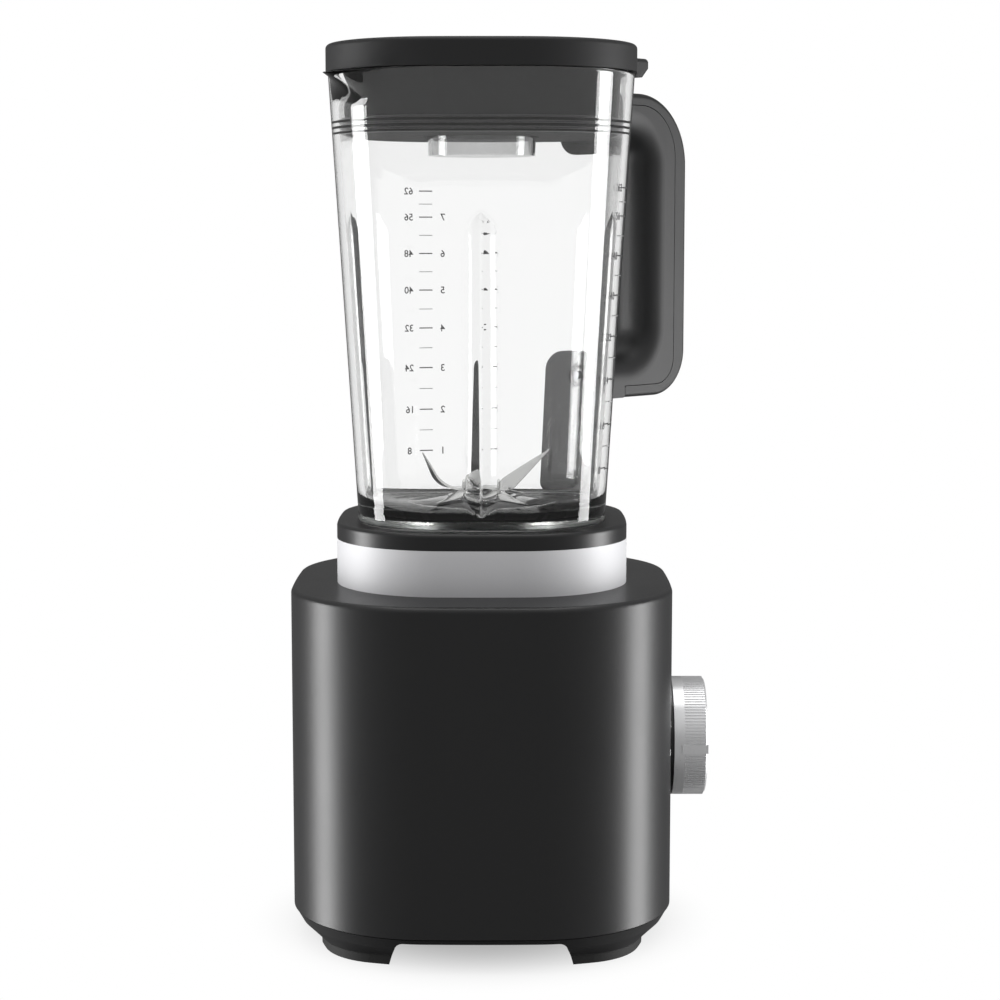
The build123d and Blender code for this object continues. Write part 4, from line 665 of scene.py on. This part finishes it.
class BLENDER_OT_jar(bpy.types.Operator):
    """Makes the clear jar: one closed wall that runs up outside, over the rim, down inside and across
    the floor to the hub, with four ribs inside, a pouring lip and two screw bosses."""

    bl_idname = "mesh.blender_jar"
    bl_label = "Jar"

    def execute(self, context):
        s = settings("jar")
        outline, foot, rim = jar_outline()
        edge = outline.side_radius * math.sin(outline.turn)
        across = np.concatenate([[-edge], -ACROSS_SIDE[:0:-1], ACROSS_SIDE, [edge]])
        outline.samples(across, [BOSS_CORNER, PLAIN_CORNER, LIP_CORNER, PLAIN_CORNER])
        sides = outline.radii == outline.side_radius
        diagonal = outline.out @ np.array([1, 1]) / math.sqrt(2)
        rim_reach = outline.corner_centre * math.sqrt(2) + outline.corner + s.flare
        lower, upper = [corner.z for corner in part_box("handle_screws")]
        bosses = [lower + SCREW_HEAD, upper - SCREW_HEAD]

        def rib(z):
            """Depth of the ribs at a height: a wedge across each side, rounded at its ridge and feet. Over
            its top its size falls as one less the square of the way up, which draws a pointed arch."""
            rise = np.clip((z - foot - s.rib_top) / (s.rib_point - s.rib_top), 0, 1)
            size = 1 - rise**2
            fall = s.rib_depth / (s.rib_width / 2) * np.sqrt(outline.across**2 + RIDGE_ROUND**2)
            wedge = smooth_max(s.rib_depth * size - fall, 0, RIB_FOOT_ROUND)
            return wedge * sides * (size > 0)

        def wall_ring(inset, z, ribs=0.0):
            """A ring of the wall with its share of the pouring lip, which dips towards its tip."""
            ring = outline.ring(lean(z, foot, rim) + inset + ribs, z)
            level = np.clip((z - rim + s.spout_drop) / s.spout_drop, 0, 1)
            if level > 0:
                ring[:, :2] -= lip_growth(ring, level)[:, None] / math.sqrt(2)
                along = -(ring[:, 0] + ring[:, 1]) / math.sqrt(2)
                fall = np.clip((along - rim_reach + s.wall) / (s.spout_reach + s.wall), 0, 1)
                ring[:, 2] -= s.spout_dip * fall * level
            return ring

        def bossed(ring, z):
            """Moves the ring out where a screw boss stands on the handle's corner: a round step about its
            axis."""
            skew = (ring[:, 0] - ring[:, 1]) / math.sqrt(2)
            for centre in bosses:
                off = np.sqrt(skew**2 + (z - centre) ** 2)
                rise = np.clip((s.boss_radius + BOSS_EDGE / 2 - off) / BOSS_EDGE, 0, 1)
                ring[:, :2] += (s.boss_length * rise * (diagonal > 0.5))[:, None] * outline.out
            return ring

        def dome(ring):
            """The floor's rise to the hub: a cone between two radii."""
            r = np.hypot(ring[:, 0], ring[:, 1])
            share = np.clip((s.dome - r) / (s.dome - s.hub), 0, 1)
            return foot + s.floor + (s.hub_rise - s.floor) * share

        rows = []
        for a in quarter(5)[:-1]:
            rows.append(wall_ring(FOOT_ROUND * (1 - math.sin(a)), foot + FOOT_ROUND * (1 - math.cos(a))))
        outside = steps(
            (foot + FOOT_ROUND, COARSE),
            (bosses[0] - BOSS_ROWS, FINE),
            (bosses[0] + BOSS_ROWS, COARSE),
            (rim - s.spout_drop - 6 * MM, MIDDLING),
            (bosses[1] - BOSS_ROWS, FINE),
            (bosses[1] + BOSS_ROWS, 0.8 * MIDDLING),
            (rim - RIM_ROUND, 1),
        )
        rows += [bossed(wall_ring(0.0, z), z) for z in outside]
        for a in quarter(4)[1:]:
            rows.append(wall_ring(RIM_ROUND * (1 - math.cos(a)), rim - RIM_ROUND * (1 - math.sin(a))))
        for a in quarter(4):
            inset = s.wall - RIM_ROUND * (1 - math.sin(a))
            rows.append(wall_ring(inset, rim - RIM_ROUND * (1 - math.cos(a))))
        floor = foot + s.floor
        inside = steps(
            (rim - 2 * RIM_ROUND, MIDDLING),
            (rim - s.spout_drop - 4 * MM, COARSE),
            (foot + s.rib_point + 1 * MM, 0.45 * MM),
            (foot + s.rib_top - 2 * MM, 5 * MM),
            (floor + s.floor_round, 1),
        )
        rows += [wall_ring(s.wall, z, rib(z)) for z in inside]
        for a in quarter(10)[1:]:
            z = floor + s.floor_round * (1 - math.sin(a))
            away = smooth_max(rib(z), s.floor_round * (1 - math.cos(a)), RIB_END_ROUND)
            ring = outline.ring(lean(z, foot, rim) + s.wall + away, z)
            ring[:, 2] = smooth_max(ring[:, 2], dome(ring), DOME_ROUND)
            rows.append(ring)
        last = rows[-1]
        polar = last[:, :2] / np.hypot(last[:, 0], last[:, 1])[:, None]

        def circle(radius, z):
            """A level circle about the axis, with a point for each one of the floor's edge."""
            return np.column_stack([polar * radius, np.full(len(polar), z)])

        hub_top = foot + s.hub_rise
        for share in np.linspace(0, 1, 15)[1:]:
            ring = last * (1 - share) + circle(s.hub, hub_top) * share
            ring[:, 2] = smooth_max(floor, dome(ring), DOME_ROUND)
            rows.append(ring)
        recess = foot + s.recess_depth
        rows += [circle(s.stem, hub_top), circle(s.stem, recess), circle((s.stem + s.recess) / 2, recess)]
        rows += [circle(s.recess, recess), circle(s.recess, foot)]
        grid = np.stack(rows)
        faces = grid_faces(*grid.shape[:2], closed_rows=True)
        jar = smooth_piece("glass_jar", grid.reshape(-1, 3), faces, 28.0)
        place(jar, "jar", "jar_glass", FINISH["jar_glass"], "jar_body")
        return {"FINISHED"}


# ---- Blades and seal
# Each prong: direction of its middle, length before bending, where the bend crosses its middle line,
# how far the bend line is turned, the angle of the bend and its radius. Angles in degrees, lengths in mm.
CURVED = (175.0, 36.6, 12.0, 28.0, 68.0, 12.0)
SLANTED = (-3.0, 37.5, 8.5, 42.0, 49.0, 3.0)
LOW = (34.0, 10.5, 20.0, -13.0, 8.0)
BLADES = {
    "bottom_blade": ((-61.5, *LOW), (118.5, *LOW)),
    "middle_blade": ((41.5, *LOW), (221.5, *LOW)),
    "top_blade": (CURVED, SLANTED),
}


# Sections of a prong over its hub and beyond, how far its straight edge draws in at the tip, the share of
# its width that the bevel may take, and the share of its thickness that is ground away at the tip.
HUB_SECTIONS, PRONG_SECTIONS = 14, 40
DRAWN_IN, BEVEL_SHARE, GROUND_AWAY = 0.5 * MM, 0.45, 0.7


def prong(shape, level):
    """One prong as points and faces, a grid of closed sections. The flat outline has one nearly straight edge
    and one that runs to the tip. A point beyond the bend line goes round an arc of the bend's radius and then
    straight on, at a height of radius x (1 - cos) plus the way beyond the arc x sin. Thickness is laid on
    along the normal."""
    s = settings("blades")
    azimuth, reach, place_of_bend, skew, bend, radius = shape
    azimuth, skew, bend = np.radians([azimuth, skew, bend])
    reach, place_of_bend, radius = reach * MM, place_of_bend * MM, radius * MM
    over_hub = np.linspace(0, s.hub, HUB_SECTIONS, endpoint=False)
    x = np.concatenate([over_hub, np.linspace(s.hub, reach, PRONG_SECTIONS)])
    round_hub = np.sqrt(np.maximum(s.hub**2 - x**2, 0))
    way = np.clip((x - s.hub) / (reach - s.hub), 0, 1)
    straight = np.maximum(s.half - DRAWN_IN * way**3, round_hub)
    tapered = -s.half + (2 * s.half - DRAWN_IN - s.tip) * way
    tapered = np.where(x < s.hub, -np.maximum(s.half, round_hub), tapered)
    bevel = np.minimum(s.bevel, BEVEL_SHARE * (straight - tapered))
    corner = [(0, 0.0), (0, s.edge), (bevel, s.thickness), (None, s.thickness), (None, 0.0)]
    y = np.stack([straight if a is None else tapered + a for a, _ in corner])
    lift = np.array([h for _, h in corner])[:, None] * (1 - GROUND_AWAY * way**2)
    beyond = (x - place_of_bend) * math.cos(skew) + y * math.sin(skew)
    along = y * math.cos(skew) - (x - place_of_bend) * math.sin(skew)
    arc = np.clip(beyond / radius, 0, abs(bend))
    rest = np.maximum(beyond - radius * abs(bend), 0)
    out = np.where(beyond > 0, radius * np.sin(arc) + rest * math.cos(bend), beyond)
    up = np.sign(bend) * (radius * (1 - np.cos(arc)) + rest * math.sin(abs(bend)))
    out = out - np.sign(bend) * np.sin(arc) * lift
    up = up + np.cos(arc) * lift
    out, along = turned(out, along, skew)
    x, y = turned(place_of_bend + out, along, azimuth)
    points = np.stack([x, y, level + up], axis=2).transpose(1, 0, 2)
    rows, columns = points.shape[:2]
    tip = list(range((rows - 1) * columns, rows * columns))
    return points.reshape(-1, 3), [*grid_faces(rows, columns), tip]


# Points of the two prongs that are nearer than this are one, and a face whose normal's height is under the
# second value is an underside, which gets the darker steel of painted shade.
SAME_POINT, UNDERSIDE = 0.02 * MM, -0.15


class BLENDER_OT_blades(bpy.types.Operator):
    """Makes the three stamped blades: two of them low, the top one with a curved and a slanted prong."""

    bl_idname = "mesh.blender_blades"
    bl_label = "Blades"

    def execute(self, context):
        s = settings("blades")
        for count, (node, prongs) in enumerate(BLADES.items()):
            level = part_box("blade_washer")[1].z + count * s.thickness
            points, faces = gather([prong(shape, level) for shape in prongs])
            piece = smooth_piece("stamped_" + node, points, faces, 24.0)
            mesh = bmesh.new()
            mesh.from_mesh(piece.data)
            bmesh.ops.remove_doubles(mesh, verts=mesh.verts, dist=SAME_POINT)
            bmesh.ops.holes_fill(mesh, edges=[e for e in mesh.edges if e.is_boundary], sides=0)
            bmesh.ops.recalc_face_normals(mesh, faces=mesh.faces)
            mesh.to_mesh(piece.data)
            mesh.free()
            place(piece, "blades", "blade_steel", FINISH["blade_steel"], node)
            # Faces that face downwards wear the darker steel: painted shade.
            piece.data.materials.append(FINISH["rolled_steel"])
            normals = np.empty(len(piece.data.polygons) * 3)
            piece.data.polygons.foreach_get("normal", normals)
            piece.data.polygons.foreach_set("material_index", (normals[2::3] < UNDERSIDE).astype(int))
        return {"FINISHED"}


# The seal's first lip lies this far under its top, each lip stands this high on the band, and half of its
# width is this share of its thickness. The band lies this far in from the wall, its edges and back further.
FIRST_LIP, LIP_HEIGHT, LIP_HALF = 1.65 * MM, 1.6 * MM, 0.9
BAND_INSET, BAND_EDGE, BAND_BACK = 1.5 * MM, 2.6 * MM, 2.75 * MM


class BLENDER_OT_seal(bpy.types.Operator):
    """Makes the lid's rubber seal: a profile with rounded lips carried round the jar's outline. Its reach is,
    at each lip, the lip's height x the root of (1 - the fourth power of the way from the lip's middle)."""

    bl_idname = "mesh.blender_seal"
    bl_label = "Seal"

    def execute(self, context):
        s, wall = settings("blades"), settings("jar").wall
        outline, foot, rim = jar_outline()
        across = np.linspace(-1, 1, 31) * outline.side_radius * math.sin(outline.turn)
        outline.samples(across, [np.linspace(0, 1, 33)[1:-1]] * 4)
        low, high = [corner.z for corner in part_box("lid_gasket")]
        z = np.linspace(low, high, 49)
        reach = 0 * z
        for lip in range(s.lips):
            off = (z - (high - FIRST_LIP) + lip * s.lip_pitch) / (LIP_HALF * s.lip)
            reach = np.maximum(reach, LIP_HEIGHT * np.sqrt(np.clip(1 - off**4, 0, 1)))
        inset = wall + BAND_INSET - reach
        inset[[0, -1]] = wall + BAND_EDGE
        back = np.linspace(high, low, 5)[1:-1]
        z = np.concatenate([z, back])
        inset = np.concatenate([inset, np.full(len(back), wall + BAND_BACK)])
        grid = np.stack([outline.ring(a, b) for a, b in zip(lean(z, foot, rim) + inset, z)])
        faces = grid_faces(*grid.shape[:2], closed_rows=True)
        piece = smooth_piece("lid_seal", grid.reshape(-1, 3), faces, 40.0)
        place(piece, "lid", "lid_rubber", FINISH["lid_rubber"], "lid_gasket")
        return {"FINISHED"}


# ---- Printed scale and dial
# Height of a digit in the built-in typeface, as a share of the typeface's size.
DIGIT_SHARE = 0.72


def flat_text(words, height):
    """Points and faces of a word in the built-in typeface, centred, as a thin closed solid of the ink."""
    curve = bpy.data.curves.new("word", "FONT")
    curve.body = words
    curve.size = height / DIGIT_SHARE
    curve.align_x, curve.align_y = "CENTER", "CENTER"
    curve.resolution_u = 4
    curve.extrude = 0.5 * settings("prints").ink
    curve.offset = settings("prints").weight
    piece = new_object("word", curve)
    bpy.context.view_layer.update()
    mesh = bpy.data.meshes.new_from_object(piece.evaluated_get(bpy.context.evaluated_depsgraph_get()))
    points = np.empty(len(mesh.vertices) * 3)
    mesh.vertices.foreach_get("co", points)
    faces = [list(p.vertices) for p in mesh.polygons]
    bpy.data.objects.remove(piece)
    bpy.data.curves.remove(curve)
    points = points.reshape(-1, 3)
    centre = (points.min(0) + points.max(0)) / 2
    return points - centre, faces


def flat_bar(width, height):
    """Points and faces of a thin closed bar of the ink, a box section repeated along its length so that the
    bar can follow a wall."""
    y, z = height / 2, settings("prints").ink / 2
    section = ((-y, -z), (y, -z), (y, z), (-y, z))
    places = np.linspace(-width / 2, width / 2, 7)
    points = np.array([[x, *corner] for x in places for corner in section])
    sides = [face[::-1] for face in grid_faces(len(places), len(section))]
    end = len(points)
    return points, [*sides, [0, 1, 2, 3], [end - 1, end - 2, end - 3, end - 4]]


# The scale: for each whole tick its height above the ground in millimetres, its ounces and its cups, and
# how far its cups, ticks and ounces stand from the middle of the wall.
SCALE_STEPS = (
    (218.6, "8", "1"),
    (238.8, "16", "2"),
    (259.2, "24", "3"),
    (278.6, "32", "4"),
    (297.1, "40", "5"),
    (314.9, "48", "6"),
    (332.6, "56", "7"),
    (345.2, "62", ""),
)
AT_CUPS, AT_TICK, AT_OUNCES = 19.8 * MM, 28.6 * MM, 37.5 * MM
# The printed walls: quarter turns from the knob's side, which way the print stands from the middle, name.
SCALE_WALLS = ((1, 1, "rear"), (0, -1, "dial_side"))


class BLENDER_OT_scale(bpy.types.Operator):
    """Prints the volume scale on two walls of the jar: numbers and ticks, set into the wall's outside."""

    bl_idname = "mesh.blender_scale"
    bl_label = "Scale"

    def execute(self, context):
        p = settings("prints")
        outline, foot, rim = jar_outline()
        levels = np.array([step[0] for step in SCALE_STEPS]) * MM
        halves = (levels[:-1] + levels[1:]) / 2
        for turns, away, wall in SCALE_WALLS:
            whole, thin = [], []
            for z, (_, ounces, cups) in zip(levels, SCALE_STEPS):
                for words, at in ((ounces, AT_OUNCES), (cups, AT_CUPS)):
                    if words:
                        whole.append(moved(flat_text(words, p.digit), away * at, z))
                whole.append(moved(flat_bar(p.tick, p.tick_line), away * AT_TICK, z))
            for z in halves:
                thin.append(moved(flat_bar(p.tick, p.half_line), away * AT_TICK, z))
            prints = (("scale_numbers_", whole, "ink"), ("scale_half_ticks_", thin, "pale_ink"))
            for name, parts, finish in prints:
                points, faces = gather(parts)
                across, z, lift = points.T
                out = outline.wall(across, lean(z, foot, rim)) + lift
                x, y = turned(out, across, turns * math.pi / 2)
                piece = flat_piece(name + wall, np.column_stack([x, y, z]), faces)
                place(piece, "jar", "jar_glass", FINISH[finish])
        return {"FINISHED"}


# The housing's outline, which the dial's print follows, and how far the print stands proud of it.
HOUSING_CORNER, HOUSING_BOW, PROUD = 64.0 * MM, 4.0 * MM, 0.03 * MM
# The angle of the dial's nought and the step to the next number, in degrees, then how far its ticks stand
# inside its numbers, and a tick's length and width.
FIRST_NUMBER, NUMBER_STEP = 181, 21.2
TICK_INSIDE, DIAL_TICK = 4.2 * MM, (1.4 * MM, 0.5 * MM)


class BLENDER_OT_dial(bpy.types.Operator):
    """Prints plain numbers and ticks round the control knob."""

    bl_idname = "mesh.blender_dial"
    bl_label = "Dial"

    def execute(self, context):
        p = settings("prints")
        housing = Outline(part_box("housing")[1].x, HOUSING_CORNER, HOUSING_BOW)
        low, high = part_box("knob")
        centre = (low.z + high.z) / 2
        parts = []
        for number in range(11):
            angle = math.radians(FIRST_NUMBER - NUMBER_STEP * number)
            tick, faces = flat_bar(*DIAL_TICK)
            tick[:, 0], tick[:, 1] = turned(tick[:, 0], tick[:, 1], angle)
            word = flat_text(str(number), p.dial_digit)
            for piece, r in ((word, p.dial_ring), ((tick, faces), p.dial_ring - TICK_INSIDE)):
                parts.append(moved(piece, r * math.cos(angle), centre + r * math.sin(angle)))
        points, faces = gather(parts)
        across, z, lift = points.T
        points = np.column_stack([housing.wall(across) + lift + PROUD, across, z])
        piece = flat_piece("dial_numbers", points, faces)
        place(piece, "base", "base_plastic", FINISH["dial_ink"])
        return {"FINISHED"}


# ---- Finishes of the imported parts
class BLENDER_OT_finishes(bpy.types.Operator):
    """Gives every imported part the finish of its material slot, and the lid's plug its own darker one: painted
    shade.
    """

    bl_idname = "object.blender_finishes"
    bl_label = "Finishes"

    def execute(self, context):
        FINISH.update(finishes())
        for part in frame["record"]["subparts"]:
            node = NODES[part["node"]]
            node.data.materials.clear()
            # The plug's darker finish is painted shade.
            finish = "plug" if part["node"] == "lid_plug" else part["material_slot"]
            node.data.materials.append(FINISH[finish])
        return {"FINISHED"}


class BLENDER_PT_panel(bpy.types.Panel):
    """Lists the pieces and their sizes and colours in the sidebar."""

    bl_idname = "BLENDER_PT_panel"
    bl_label = "Blender jar"
    bl_space_type = "VIEW_3D"
    bl_region_type = "UI"
    bl_category = "Blender jar"

    def draw(self, context):
        for operator in OPERATORS:
            self.layout.operator(operator.bl_idname)
        for name, group in GROUPS.items():
            box = self.layout.box()
            box.label(text=name.capitalize())
            for value in group.__annotations__:
                box.prop(settings(name), value)


# In the order in which main calls them.
OPERATORS = [BLENDER_OT_stage, BLENDER_OT_finishes, BLENDER_OT_jar, BLENDER_OT_blades, BLENDER_OT_seal]
OPERATORS += [BLENDER_OT_scale, BLENDER_OT_dial]
CLASSES = [*GROUPS.values(), *OPERATORS, BLENDER_PT_panel]


def register():
    """Registers the classes, and gives the scene its groups of values."""
    for kind in CLASSES:
        bpy.utils.register_class(kind)
    for name, group in GROUPS.items():
        setattr(bpy.types.Scene, "blender_" + name, bpy.props.PointerProperty(type=group))


def unregister():
    """Takes the groups and the classes away again."""
    for name in GROUPS:
        delattr(bpy.types.Scene, "blender_" + name)
    for kind in CLASSES:
        bpy.utils.unregister_class(kind)


def main():
    """Makes everything."""
    register()
    for operator in OPERATORS:
        space, name = operator.bl_idname.split(".")
        getattr(getattr(bpy.ops, space), name)()


if __name__ == "__main__":
    main()
